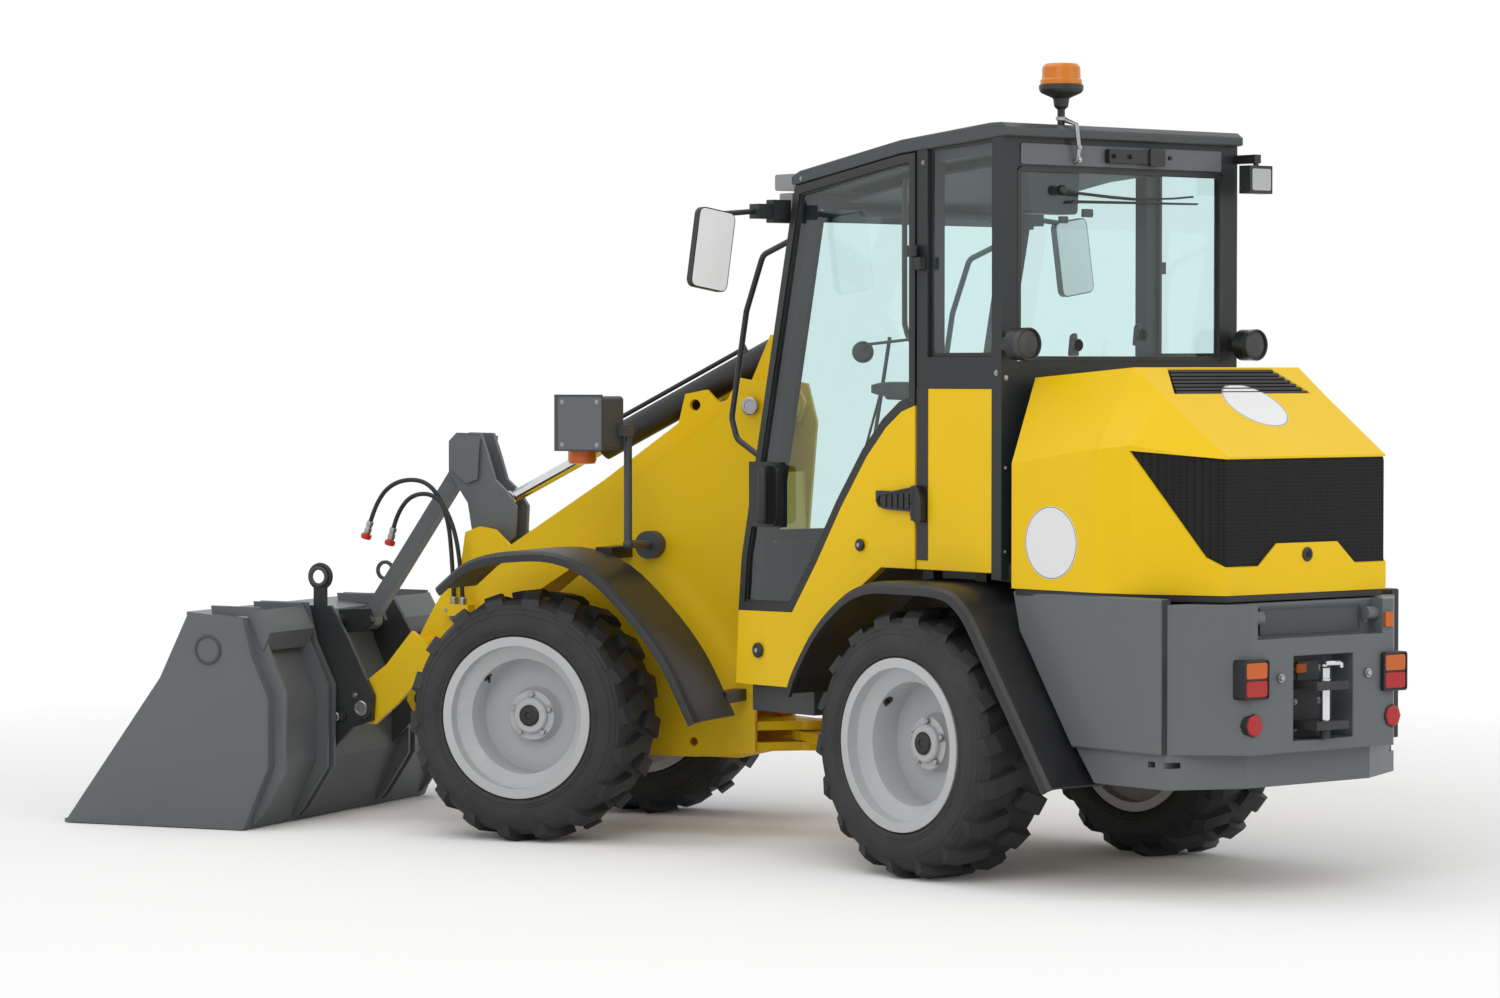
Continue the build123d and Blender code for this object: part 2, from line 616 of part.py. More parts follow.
with BuildPart() as mirrors:
    low_z, high_z = BRACKET_Z
    side_plate([(on_post(low_z), low_z), (on_post(high_z), high_z), (BRACKET_X, high_z), (BRACKET_X, low_z)],
               SCREEN_HALF, CAB_HALF)
    block((BRACKET_X - 38, BRACKET_X), (SCREEN_HALF, CAB_HALF + 95), BRACKET_Z)
    block((BRACKET_X - 30, BRACKET_X + 20), (CAB_HALF + 75, CAB_HALF + 150), (low_z + 13, high_z - 14))
    bar_between((BRACKET_X, CAB_HALF + 140, 2122), (752, 770, 2110), 9)
    with BuildSketch(Plane.YZ.offset(740)) as glass_outline:
        with Locations((806, 1994)):
            RectangleRounded(152, 262, 26, rotation=9)
    extrude(glass_outline.sketch, amount=24)
    mirror(about=Plane.XZ)

HANDRAIL_Y = SCREEN_HALF + 22
HANDRAIL_Z = (1290, 2050)
with BuildPart() as handrails:
    with BuildLine() as rail_line:
        FilletPolyline(
            (on_post(HANDRAIL_Z[1]) + 9, HANDRAIL_Y, HANDRAIL_Z[1]), (905, HANDRAIL_Y, 1985),
            (992, HANDRAIL_Y, 1800), (1070, HANDRAIL_Y, 1443), (1042, HANDRAIL_Y, 1372),
            (on_post(HANDRAIL_Z[0]) + 9, HANDRAIL_Y, HANDRAIL_Z[0]), radius=45,
        )
    with BuildSketch(Plane(origin=rail_line.line @ 0, z_dir=rail_line.line % 0)) as rail_section:
        Circle(10)
    sweep(rail_section.sketch, path=rail_line.line)
    for z in HANDRAIL_Z:
        foot = [(on_post(z - 20), z - 20), (on_post(z + 20), z + 20), (on_post(z + 20) + 14, z + 20),
                (on_post(z - 20) + 14, z - 20)]
        side_plate(foot, HANDRAIL_Y - 14, HANDRAIL_Y + 14)
    mirror(about=Plane.XZ)

with BuildPart() as lock_bar:
    block((TANK_FRONT, TANK_FRONT + 20), (RAIL_OUT, RAIL_OUT + 30), (TANK_LOW, TANK_LOW + 32))
    bar_between((TANK_FRONT + 10, RAIL_OUT + 15, TANK_LOW + 16), (1120, RAIL_OUT + 15, 452), 12)
    round_bar((1120, RAIL_OUT + 15, 452), 22, 16)
with BuildPart() as side_tanks:
    block((620, TANK_FRONT), (RAIL_OUT, CAB_HALF - 5), (TANK_LOW, CAB_FLOOR))
    mirror(about=Plane.XZ)

# Hood sections: X, half width at the base, crease height, half width at the top, top height
HOOD_SECTIONS = [
    (HOOD_FRONT, 530, 1315, 430, 1580),
    (-750, 520, 1365, 360, 1612),
    (-870, 490, 1378, 352, 1526),
    (-1130, 350, 1330, 345, 1345),
]


def hood_form(inset, low, front):
    """The hood's faceted form, drawn in by an inset, as a loft over its sections."""
    faces = []
    for x, half_low, crease, half_top, top in HOOD_SECTIONS:
        station = min(x + inset, front) if x < HOOD_FRONT else front
        with BuildSketch(Plane.YZ.offset(station)) as section:
            with BuildLine():
                Polyline(
                    (half_low - inset, low), (half_low - inset, crease - inset / 2),
                    (half_top - inset, top - inset), (inset - half_top, top - inset),
                    (inset - half_low, crease - inset / 2), (inset - half_low, low), close=True,
                )
            make_face()
        faces.append(section.sketch)
    return faces


# Grille: its outline in side view, the painted bump that rises into it at the tail, and the vent's plan
GRILLE_LINE = [(-862, 1362), (-1072, 1045), (-1130, 1013), (-1300, 1013), (-1300, 1338), (-1130, 1338)]
GRILLE_BUMP = [(-228, 1000), (-132, 1082), (132, 1082), (228, 1000)]
VENT_PLAN = [(-754, 225), (-862, 300), (-862, -300), (-754, -225)]
GRILLE_SINK = 5

with BuildPart() as grille_room:
    side_plate(GRILLE_LINE, -COVER_HALF - SKIN, COVER_HALF + SKIN)
    wall(GRILLE_BUMP, -1300, -1000, Mode.SUBTRACT)
    deck(VENT_PLAN, 1480, 1700)

with BuildPart() as grille:
    loft(hood_form(GRILLE_SINK, HOOD_LOW, HOOD_FRONT), ruled=True)
    loft(hood_form(HOOD_WALL, HOOD_LOW - 5, HOOD_FRONT + 5), ruled=True, mode=Mode.SUBTRACT)
    add(grille_room.part, mode=Mode.INTERSECT)

with BuildPart() as hood:
    loft(hood_form(0, HOOD_LOW, HOOD_FRONT), ruled=True)
    loft(hood_form(HOOD_WALL, HOOD_LOW - 5, HOOD_FRONT + 5), ruled=True, mode=Mode.SUBTRACT)
    add(grille_room.part, mode=Mode.SUBTRACT)
    for side in (1, -1):
        knuckle = sorted((side * 335, side * 353))
        block((HOOD_FRONT - 14, HOOD_HINGE[0]), knuckle, (HOOD_HINGE[1] - 10, HOOD_HINGE[1] + 20))
        round_bar(at_side(HOOD_HINGE, side * 344), 16, 18)
        round_bar(at_side(HOOD_HINGE, side * 344), HINGE_PIN + RUN, 18, mode=Mode.SUBTRACT)

# Front frame
TOWER = [
    (1340, 290), (1340, 560), (1290, 620), (1290, 1000), (1255, 1420), (1290, 1556), (1400, 1576),
    (1480, 1440), (1760, 1240), (1890, 1080), (1990, 900), (2240, 700), (2260, AXLE_PAD_TOP),
    (1860, AXLE_PAD_TOP), (1800, 270), (1560, 270),
]
with BuildPart() as front_chassis:
    side_plate(TOWER, RAIL_IN, RAIL_OUT)
    side_plate(TOWER, -RAIL_OUT, -RAIL_IN)
    round_bar(at_side(TIE_DOWN), TIE_DOWN_RADIUS, 2 * RAIL_OUT, mode=Mode.SUBTRACT)
    block((1400, 1810), (-RAIL_IN, RAIL_IN), (270, 290))
    block((1290, 1304), (-RAIL_IN, RAIL_IN), (700, 1250))
    block((2200, 2220), (-RAIL_IN, RAIL_IN), (AXLE_PAD_TOP, 650))
    for low in TONGUE_Z:
        for z in (low - PASS - TONGUE, low + TONGUE + PASS):
            clevis = [
                (PIVOT_X, 70), (1345, RAIL_IN), (1420, RAIL_IN), (1420, -RAIL_IN), (1345, -RAIL_IN),
                (PIVOT_X, -70),
            ]
            deck(clevis, z, z + TONGUE)
            round_bar((PIVOT_X, 0, z + TONGUE / 2), 70, TONGUE, "z")
        pin_length = 3 * TONGUE + 2 * PASS
        round_bar((PIVOT_X, 0, low + TONGUE / 2), PIVOT_PIN, pin_length, "z")
    steer_x = PIVOT_X + STEER_FRONT[0]
    for z in (STEER_Z - 20 - PASS - 14, STEER_Z + 20 + PASS):
        block((steer_x - 25, steer_x + 60), (-RAIL_IN, STEER_FRONT[1] + 30), (z, z + 14))
    round_bar(at_side(BOOM_PIVOT), BOOM_PIN, 2 * RAIL_IN)
    for side in (1, -1):
        block((LIFT_LOW[0] - 40, LIFT_LOW[0] + 40), sorted((side * 36, side * 52)), (290, LIFT_LOW[1] + 40))
    round_bar(at_side(LIFT_LOW), LINK_PIN, 80)

# Head lamps: a box with a guard plate outside, its indicator below and its post down to the side plate
LAMP_X = (1682, 1846)
LAMP_SIDE = (520, 682)
LAMP_Z = (1333, 1515)
LAMP_POST = (1672, 505)
with BuildPart() as head_lamps:
    block(LAMP_X, LAMP_SIDE, LAMP_Z)
    fillet(head_lamps.edges().filter_by(Axis.Y), 14)
    block((LAMP_X[0] + 2, LAMP_X[1] + 14), (LAMP_SIDE[1], LAMP_SIDE[1] + 8), (LAMP_Z[0] - 2, LAMP_Z[1] + 6))
    round_bar((1795, 606, LAMP_Z[0] - 14), 46, 30, "z")
    bar_between((*LAMP_POST, 1015), (*LAMP_POST, 1420), 14)
    block((LAMP_POST[0] - 16, LAMP_X[0] + 6), (LAMP_POST[1] - 16, LAMP_SIDE[0] + 40), (1380, 1420))
    bar_between((*LAMP_POST, 1015), (1722, RAIL_OUT + 24, 1000), 14)
    with Locations((*LAMP_POST, 1015)):
        Sphere(18)
    round_bar((1722, RAIL_OUT + 24, 1000), 48, 48)
    mirror(about=Plane.XZ)

# Coupler hoses: they leave a block on the boom's left plate, arch forward and end at their couplers
HOSE_RADIUS = 8
HOSE_PLACES = (BOOM_OUT + 15, BOOM_OUT + 37)
HOSE_EXIT_Z = 775
HOSE_LINES = [
    [
        (2512, HOSE_EXIT_Z + 0.5), (2518, 930), (2538, 1100), (2610, 1210), (2730, 1215), (2815, 1150),
        (2845, 1060),
    ],
    [
        (2466, HOSE_EXIT_Z + 0.5), (2474, 912), (2502, 1058), (2566, 1162), (2662, 1166), (2724, 1100),
        (2741, 1040),
    ],
]

# Boom: side plates with their outline, closed by a top and a bottom sheet
BOOM_SIDE = [
    (1300, 1425), (1275, 1490), (1310, 1555), (1500, 1490), (1545, 1535), (1625, 1520), (1650, 1420),
    (1930, 1222), (2300, 985), (2360, 1040), (2420, 1050), (2475, 1030), (2490, 930), (2600, 760),
    (2690, 600), (2640, 520), (2540, 560), (2250, 790), (1900, 1010), (1640, 1120), (1440, 1380),
]
FOOT_SIDE = [
    (2560, 620), (2640, 680), (2740, 560), (2860, 470), (2880, 400), (2850, 350), (2790, 345),
    (2700, 420), (2600, 520),
]
with BuildPart() as boom:
    for side in (1, -1):
        side_plate(BOOM_SIDE, *sorted((side * BOOM_IN, side * BOOM_OUT)))
        side_plate(FOOT_SIDE, *sorted((side * FOOT_IN, side * FOOT_OUT)))
    round_bar((1588, 0, 1482), 20, 2 * BOOM_OUT, mode=Mode.SUBTRACT)
    side_plate([(1700, 1390), (1930, 1222), (2250, 1016), (2240, 1000), (1920, 1204), (1690, 1372)],
               -BOOM_IN, BOOM_IN)
    side_plate([(1900, 1010), (2250, 790), (2540, 560), (2550, 574), (2262, 806), (1908, 1026)],
               -BOOM_IN, BOOM_IN)
    round_bar((2620, 0, 600), 55, 2 * FOOT_OUT)
    block((2440, 2535), (BOOM_OUT, BOOM_OUT + 52), (HOSE_EXIT_Z - 40, HOSE_EXIT_Z))
    for side in (1, -1):
        ears = [(TILT_REAR[0] - 38, TILT_REAR[1] + 20), (TILT_REAR[0] + 30, TILT_REAR[1] + 35),
                (1430, 1500), (1300, 1500)]
        side_plate(ears, *sorted((side * EAR_IN, side * EAR_OUT)))
    round_bar(at_side(BOOM_PIVOT), 60, 2 * BOOM_OUT)
    round_bar(at_side(LEVER_PIVOT), 45, 2 * BOOM_OUT)
    round_bar(at_side(LEVER_PIVOT), 80, 2 * (LEVER_OUT + PASS), mode=Mode.SUBTRACT)
    round_bar(at_side(BOOM_PIVOT), BOOM_PIN + RUN, 2 * BOOM_OUT, mode=Mode.SUBTRACT)
    round_bar(at_side(LEVER_PIVOT), LINK_PIN, 2 * BOOM_OUT)
    for side in (1, -1):
        round_bar(at_side(BUCKET_PIVOT, side * (FOOT_IN + FOOT_OUT) / 2), BOOM_PIN + RUN,
                  FOOT_OUT - FOOT_IN, mode=Mode.SUBTRACT)
    round_bar(at_side(TILT_REAR), LINK_PIN, 2 * EAR_OUT)


def hose_bends(points):
    """Radius of a hose's bend at each inner point: 0.45 of its shorter run over the half turn's tangent."""
    runs = [Vector(*b) - Vector(*a) for a, b in zip(points, points[1:])]
    return [
        0.45 * min(before.length, after.length) / tan(radians(before.get_angle(after) / 2))
        for before, after in zip(runs, runs[1:])
    ]


with BuildPart() as boom_hoses:
    for line, hose_y in zip(HOSE_LINES, HOSE_PLACES):
        points = [(x, hose_y, z) for x, z in line]
        bends = hose_bends(points)
        print("hose bend radii", [round(bend) for bend in bends])
        with BuildLine() as hose_line:
            FilletPolyline(*points, radius=bends)
        with BuildSketch(Plane(origin=hose_line.line @ 0, z_dir=hose_line.line % 0)) as hose_section:
            Circle(HOSE_RADIUS)
        sweep(hose_section.sketch, path=hose_line.line)

with BuildPart() as hose_couplers:
    for line, hose_y in zip(HOSE_LINES, HOSE_PLACES):
        end = Vector(line[-1][0], hose_y, line[-1][1])
        onward = (end - Vector(line[-2][0], hose_y, line[-2][1])).normalized()
        bar_between(end, end + onward * 44, 13)
        bar_between(end + onward * 44, end + onward * 62, 19)

LEVER_SIDE = [
    (2375, 955), (2318, 1010), (2312, 1120), (2345, 1170), (2395, 1215), (2425, 1310), (2450, 1378),
    (2545, 1380), (2575, 1350), (2575, 1240), (2500, 1130), (2472, 960), (2425, 930),
]
with BuildPart() as tilt_lever:
    for side in (1, -1):
        side_plate(LEVER_SIDE, *sorted((side * LEVER_IN, side * LEVER_OUT)))
    round_bar(at_side(LEVER_PIVOT), 34, 2 * LEVER_OUT)
    round_bar(at_side(LEVER_PIVOT), LINK_PIN + RUN, 2 * LEVER_OUT, mode=Mode.SUBTRACT)
    round_bar(at_side(LEVER_TOP), LINK_PIN, 2 * LEVER_OUT)
    for side in (1, -1):
        cheek = [(2455, 1215), (2445, 1368), (2540, 1370), (2562, 1340), (2562, 1250), (2500, 1200)]
        side_plate(cheek, *sorted((side * LEVER_OUT, side * (LEVER_OUT + 14))))

with BuildPart() as tilt_link:
    run = Vector(*at_side(LINK_FOOT)) - Vector(*at_side(LEVER_TOP))
    across = Vector(run.Z, 0, -run.X).normalized() * 26
    corners = [
        Vector(*at_side(LEVER_TOP)) + across, Vector(*at_side(LINK_FOOT)) + across,
        Vector(*at_side(LINK_FOOT)) - across, Vector(*at_side(LEVER_TOP)) - across,
    ]
    side_plate([(corner.X, corner.Z) for corner in corners], -EYE_HALF, EYE_HALF)
    for end in (LEVER_TOP, LINK_FOOT):
        round_bar(at_side(end), 38, 2 * EYE_HALF)
    for end in (LEVER_TOP, LINK_FOOT):
        round_bar(at_side(end), LINK_PIN + RUN, 2 * EYE_HALF, mode=Mode.SUBTRACT)

with BuildPart() as quick_hitch:
    for side in (1, -1):
        side_plate(
            [
                (2785, 360), (2780, 450), (2880, 650), (2950, 765), (3040, 765), (3062, 740), (3025, 610),
                (2958, 465), (2958, 240), (2860, 335),
            ],
            *sorted((side * (FOOT_OUT + PASS), side * (FOOT_OUT + PASS + 20))),
        )
        side_plate(
            [(2885, 700), (2900, 745), (2950, 745), (3020, 740), (3020, 660), (2930, 660)],
            *sorted((side * LEVER_IN, side * LEVER_OUT)),
        )
        round_bar(at_side(BUCKET_PIVOT, side * (FOOT_IN + FOOT_OUT + PASS + 20) / 2), BOOM_PIN,
                  FOOT_OUT - FOOT_IN + PASS + 20)
    round_bar((3010, 0, 700), 24, 2 * (FOOT_OUT + PASS))
    round_bar(at_side(LINK_FOOT), LINK_PIN, 2 * LEVER_OUT)
    plate_y = (FOOT_OUT + PASS, FOOT_OUT + PASS + 20)
    block((2972, 3018), plate_y, (760, 832))
    with Locations(Location((2995, sum(plate_y) / 2, 868), (90, 0, 0))):
        Torus(40, 9)
    for side in (1, -1):
        nut_y = side * (plate_y[1] + 8)
        round_bar((BUCKET_PIVOT[0], nut_y, BUCKET_PIVOT[1]), 40, 16)
        round_bar((2900, nut_y, 375), 17, 16)

# Bucket: outer line of the sheet in side view, from the lip round the back to the top edge
BUCKET_BACK = [
    (3780, BUCKET_LOW), (3060, BUCKET_LOW), (2958, 225), (2958, 465), (3025, 610), (3062, 740), (3280, 760),
]
BUCKET_SIDE = [
    (3780, BUCKET_LOW), (3060, BUCKET_LOW), (2958, 225), (2958, 465), (3025, 610), (3062, 740),
    (3280, 745), (3390, 525),
]
BUCKET_RIB = [
    (3042, BUCKET_LOW + 18), (3015, BUCKET_LOW + 45), (2915, 200), (2912, 490), (2985, 640), (3020, 778),
    (3210, 780), (3205, 748), (3064, 745), (3029, 610), (2962, 465), (2962, 226), (3062, BUCKET_LOW + 14),
]
RIB_PLACES = (280, 330, BUCKET_HALF - 60)
RIB_THICK = 14
with BuildPart() as bucket:
    with BuildSketch(Plane.XZ.offset(-BUCKET_HALF)) as sheet:
        with BuildLine():
            Polyline(*BUCKET_BACK)
            offset(amount=BUCKET_SHEET, side=Side.RIGHT)
        make_face()
    extrude(sheet.sketch, amount=2 * BUCKET_HALF)
    for side in (1, -1):
        side_plate(BUCKET_SIDE, *sorted((side * (BUCKET_HALF - BUCKET_SHEET), side * BUCKET_HALF)))
        round_bar((3195, side * (BUCKET_HALF + 2), 628), 52, 4)
        for rib_y in RIB_PLACES:
            side_plate(BUCKET_RIB, *sorted((side * rib_y, side * (rib_y + RIB_THICK))))
        side_plate(
            [(3060, 748), (3000, 625), (2972, 690), (3015, 768)],
            *sorted((side * 330, side * (BUCKET_HALF - 40))),
        )


def barrel_between(tail, head, radius, bore, tail_gap, head_gap):
    """Add a hydraulic barrel on the line between two pins, with a neck to its eye and a bore for the rod."""
    unit = (Vector(*head) - Vector(*tail)).normalized()
    bar_between(tail, Vector(*tail) + unit * (tail_gap + 1), bore)
    end = Vector(*head) - unit * head_gap
    bar_between(Vector(*tail) + unit * tail_gap, end, radius)
    bar_between(Vector(*tail) + unit * (tail_gap + 25), end, bore, Mode.SUBTRACT)


def rod_between(tail, head, radius, start_gap):
    """Add a piston rod that ends in the eye at its head and reaches back into the barrel."""
    unit = (Vector(*head) - Vector(*tail)).normalized()
    bar_between(Vector(*tail) + unit * start_gap, head, radius)


def eye(point, radius, half, pin):
    """Add a round eye about a side-view point, bored for its pin."""
    round_bar(at_side(point), radius, 2 * half)
    round_bar(at_side(point), pin + RUN, 2 * half, mode=Mode.SUBTRACT)


def rod_head(point, radius):
    """Add a rod's closed eye about a side-view point, with the ends of its pin."""
    round_bar(at_side(point), radius, 2 * EYE_HALF - 6)
    round_bar(at_side(point), LINK_PIN, 2 * EYE_HALF)


with BuildPart() as tilt_barrel:
    barrel_between(at_side(TILT_REAR), at_side(TILT_FRONT), TILT_BARREL, 23, 50, 420)
    eye(TILT_REAR, 40, EAR_IN - PASS, LINK_PIN)
    along = (Vector(*at_side(TILT_FRONT)) - Vector(*at_side(TILT_REAR))).normalized()
    above = Vector(-along.Z, 0, along.X)
    pipe = [Vector(*at_side(TILT_REAR)) + along * place + above * (TILT_BARREL + 14) for place in (150, 700)]
    bar_between(*pipe, 8)
    for end in pipe:
        bar_between(end - above * 24, end + above * 12, 13)
with BuildPart() as tilt_rod:
    rod_between(at_side(TILT_REAR), at_side(TILT_FRONT), 22, 350)
    rod_head(TILT_FRONT, 36)

with BuildPart() as lift_barrel:
    barrel_between(at_side(LIFT_LOW), at_side(LIFT_TOP), 52, 29, 52, 60)
    eye(LIFT_LOW, 38, EYE_HALF, LINK_PIN)
with BuildPart() as lift_rod:
    rod_between(at_side(LIFT_LOW), at_side(LIFT_TOP), 28, 82)
    rod_head(LIFT_TOP, 38)

# Steering cylinder as the machine stands: its front pin is turned with the front frame
turn = radians(STEER_ANGLE)
STEER_TAIL = (PIVOT_X + STEER_REAR[0], STEER_REAR[1], STEER_Z)
STEER_HEAD = (
    PIVOT_X + STEER_FRONT[0] * cos(turn) - STEER_FRONT[1] * sin(turn),
    STEER_FRONT[0] * sin(turn) + STEER_FRONT[1] * cos(turn),
    STEER_Z,
)
with BuildPart() as steer_barrel:
    barrel_between(STEER_TAIL, STEER_HEAD, 30, 17, 45, 190)
    round_bar(STEER_TAIL, 24, 40, "z")
    round_bar(STEER_TAIL, 12 + RUN, 40, "z", Mode.SUBTRACT)
with BuildPart() as steer_rod:
    rod_between(STEER_TAIL, STEER_HEAD, 16, 200)
    round_bar(STEER_HEAD, 22, 36, "z")
    round_bar(STEER_HEAD, 12, 40, "z")

with BuildPart() as tyre_mirrored:
    mirror(tyre.part, about=Plane.XZ)
with BuildPart() as rim_mirrored:
    mirror(rim.part, about=Plane.XZ)

# Pieces of the rear frame and, with the machine straight, of the front frame
REAR_PIECES = {
    "rear_chassis": rear_chassis, "rear_axle": rear_axle, "engine_block": engine_block,
    "counterweight": counterweight, "side_covers": side_covers, "tow_hitch": tow_hitch,
    "tail_lamps": tail_lamps, "rear_fenders": rear_fenders, "side_tanks": side_tanks,
    "cab_frame": cab_frame, "cab_roof": cab_roof, "side_panels": side_panels,
    "door_hinges": door_hinges, "windscreen": windscreen, "rear_window": rear_window,
    "quarter_windows": quarter_windows,
    "seat": seat, "dash": dash, "steering_wheel": steering_wheel, "console": console,
    "beacon": beacon, "work_lights": work_lights, "mirrors": mirrors, "hood": hood,
    "door_left": door_left, "door_left_frame": door_left_frame, "door_left_glass": door_left_glass,
    "door_right": door_right, "door_right_frame": door_right_frame, "door_right_glass": door_right_glass,
    "grille": grille, "beacon_base": beacon_base, "handrails": handrails, "lock_bar": lock_bar,
    "steer_barrel": steer_barrel, "steer_rod": steer_rod,
}
FRONT_PIECES = {
    "front_chassis": front_chassis, "front_axle": front_axle, "front_fenders": front_fenders,
    "head_lamps": head_lamps, "boom": boom, "tilt_lever": tilt_lever, "tilt_link": tilt_link,
    "tilt_barrel": tilt_barrel, "tilt_rod": tilt_rod, "lift_barrel": lift_barrel, "lift_rod": lift_rod,
    "quick_hitch": quick_hitch, "bucket": bucket, "boom_hoses": boom_hoses, "hose_couplers": hose_couplers,
}
straight = Location((0, 0, 0))
parked = Location((PIVOT_X, 0, 0)) * Location((0, 0, 0), (0, 0, STEER_ANGLE)) * Location((-PIVOT_X, 0, 0))
placed = {}
for name, piece in REAR_PIECES.items():
    placed[name] = piece.part
for name, piece in FRONT_PIECES.items():
    placed[name] = piece.part.moved(parked)
for frame_name, x, stand in (("rear", 0, straight), ("front", FRONT_AXLE_X, parked)):
    for side_name, side, tyre_part, rim_part in (
        ("left", 1, tyre, rim), ("right", -1, tyre_mirrored, rim_mirrored),
    ):
        place = stand * Location((x, side * HALF_TRACK, AXLE_Z))
        placed[f"tyre_{frame_name}_{side_name}"] = tyre_part.part.moved(place)
        placed[f"rim_{frame_name}_{side_name}"] = rim_part.part.moved(place)

# The origin goes to the ground under the middle of the whole machine's box
boxes = [part.bounding_box() for part in placed.values()]
middle_x = (min(box.min.X for box in boxes) + max(box.max.X for box in boxes)) / 2
middle_y = (min(box.min.Y for box in boxes) + max(box.max.Y for box in boxes)) / 2
to_origin = Location((-middle_x, -middle_y, 0))

os.makedirs("parts", exist_ok=True)
for name, part in placed.items():
    piece = part.moved(to_origin)
    piece.label = name
    export_step(piece, f"parts/{name}.step")
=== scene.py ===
"""Looks of a compact articulated wheel loader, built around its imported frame, in metres."""
import json
import logging
import math
from dataclasses import dataclass, field
from enum import Enum
from typing import Protocol, Sequence

import bmesh
import bpy
from mathutils import Matrix, Vector

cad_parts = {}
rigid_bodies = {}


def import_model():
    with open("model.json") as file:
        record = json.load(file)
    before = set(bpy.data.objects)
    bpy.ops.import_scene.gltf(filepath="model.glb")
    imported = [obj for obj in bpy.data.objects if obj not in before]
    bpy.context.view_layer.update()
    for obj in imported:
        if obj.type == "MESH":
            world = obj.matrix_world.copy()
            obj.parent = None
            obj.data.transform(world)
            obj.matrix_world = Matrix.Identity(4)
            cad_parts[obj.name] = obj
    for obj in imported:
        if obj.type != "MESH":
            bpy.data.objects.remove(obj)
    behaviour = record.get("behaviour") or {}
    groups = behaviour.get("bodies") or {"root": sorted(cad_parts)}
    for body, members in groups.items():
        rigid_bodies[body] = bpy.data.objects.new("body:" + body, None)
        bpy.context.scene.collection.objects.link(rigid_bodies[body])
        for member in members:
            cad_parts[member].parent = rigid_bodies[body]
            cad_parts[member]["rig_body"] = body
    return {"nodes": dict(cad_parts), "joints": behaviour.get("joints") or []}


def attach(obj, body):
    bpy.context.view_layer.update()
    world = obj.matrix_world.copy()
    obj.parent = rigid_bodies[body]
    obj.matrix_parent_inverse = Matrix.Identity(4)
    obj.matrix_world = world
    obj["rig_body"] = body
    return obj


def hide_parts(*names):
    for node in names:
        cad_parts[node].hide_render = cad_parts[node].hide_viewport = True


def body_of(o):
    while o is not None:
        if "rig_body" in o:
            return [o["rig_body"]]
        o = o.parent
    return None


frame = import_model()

LOG = logging.getLogger("loader")
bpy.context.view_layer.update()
Number = int | float
Colour = tuple[float, float, float]
Point = tuple[float, float, float]
Span = tuple[float, float]
MM = 0.001
SIDES = (1, -1)
CORNERS = ("rear_left", "rear_right", "front_left", "front_right")
X, Y, Z = Vector((1, 0, 0)), Vector((0, 1, 0)), Vector((0, 0, 1))
WHITE_LIGHT: Colour = (1.0, 1.0, 1.0)


def joint(name: str) -> dict:
    """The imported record's joint of that name."""
    return next(j for j in frame["joints"] if j["name"] == name)


# Places of the running gear, read from the frame
REAR_LEFT, REAR_RIGHT, FRONT_LEFT, FRONT_RIGHT = (
    Vector(joint(f"wheel_{corner}_spin")["pos_m"]) for corner in CORNERS
)
PIVOT = Vector(joint("steer")["pos_m"])
BENCH = (REAR_LEFT + REAR_RIGHT) / 2
FRONT_AXLE = (FRONT_LEFT + FRONT_RIGHT) / 2
TURN = math.atan2(FRONT_AXLE.y - PIVOT.y, FRONT_AXLE.x - PIVOT.x)
HALF_TRACK = (REAR_LEFT - REAR_RIGHT).length / 2
PIVOT_X = PIVOT.x - BENCH.x


class Stand(Enum):
    """Which frame of the machine a piece is drawn on, with the machine straight and in millimetres."""

    REAR = "rear"
    FRONT = "front"

    def matrix(self) -> Matrix:
        """The move from millimetres, X forward from the rear axle on the ground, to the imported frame.

        Returns:
            The matrix.
        """
        ground = Matrix.Translation((BENCH.x, BENCH.y, 0.0)) @ Matrix.Scale(MM, 4)
        if self is Stand.REAR:
            return ground
        pivot = Matrix.Translation((PIVOT_X / MM, 0.0, 0.0))
        return ground @ pivot @ Matrix.Rotation(TURN, 4, "Z") @ pivot.inverted()


class Socket:
    """A shader value whose arithmetic adds Math nodes to its sheet."""

    def __init__(self, sheet: "Sheet", link: bpy.types.NodeSocket) -> None:
        """Wrap a node's output socket."""
        self.sheet = sheet
        self.link = link

    def _math(self, operation: str, first: "Socket | Number", second: "Socket | Number") -> "Socket":
        """One Math node on two values."""
        return self.sheet.node("ShaderNodeMath", {"operation": operation}, {0: first, 1: second})

    def __add__(self, other: "Socket | Number") -> "Socket":
        """Sum."""
        return self._math("ADD", self, other)

    __radd__ = __add__

    def __sub__(self, other: "Socket | Number") -> "Socket":
        """Difference."""
        return self._math("SUBTRACT", self, other)

    def __rsub__(self, other: "Socket | Number") -> "Socket":
        """Difference from a number."""
        return self._math("SUBTRACT", other, self)

    def __mul__(self, other: "Socket | Number") -> "Socket":
        """Product."""
        return self._math("MULTIPLY", self, other)

    __rmul__ = __mul__

    def clamped(self) -> "Socket":
        """The value held between 0 and 1."""
        return self.sheet.node("ShaderNodeClamp", {}, {"Value": self})


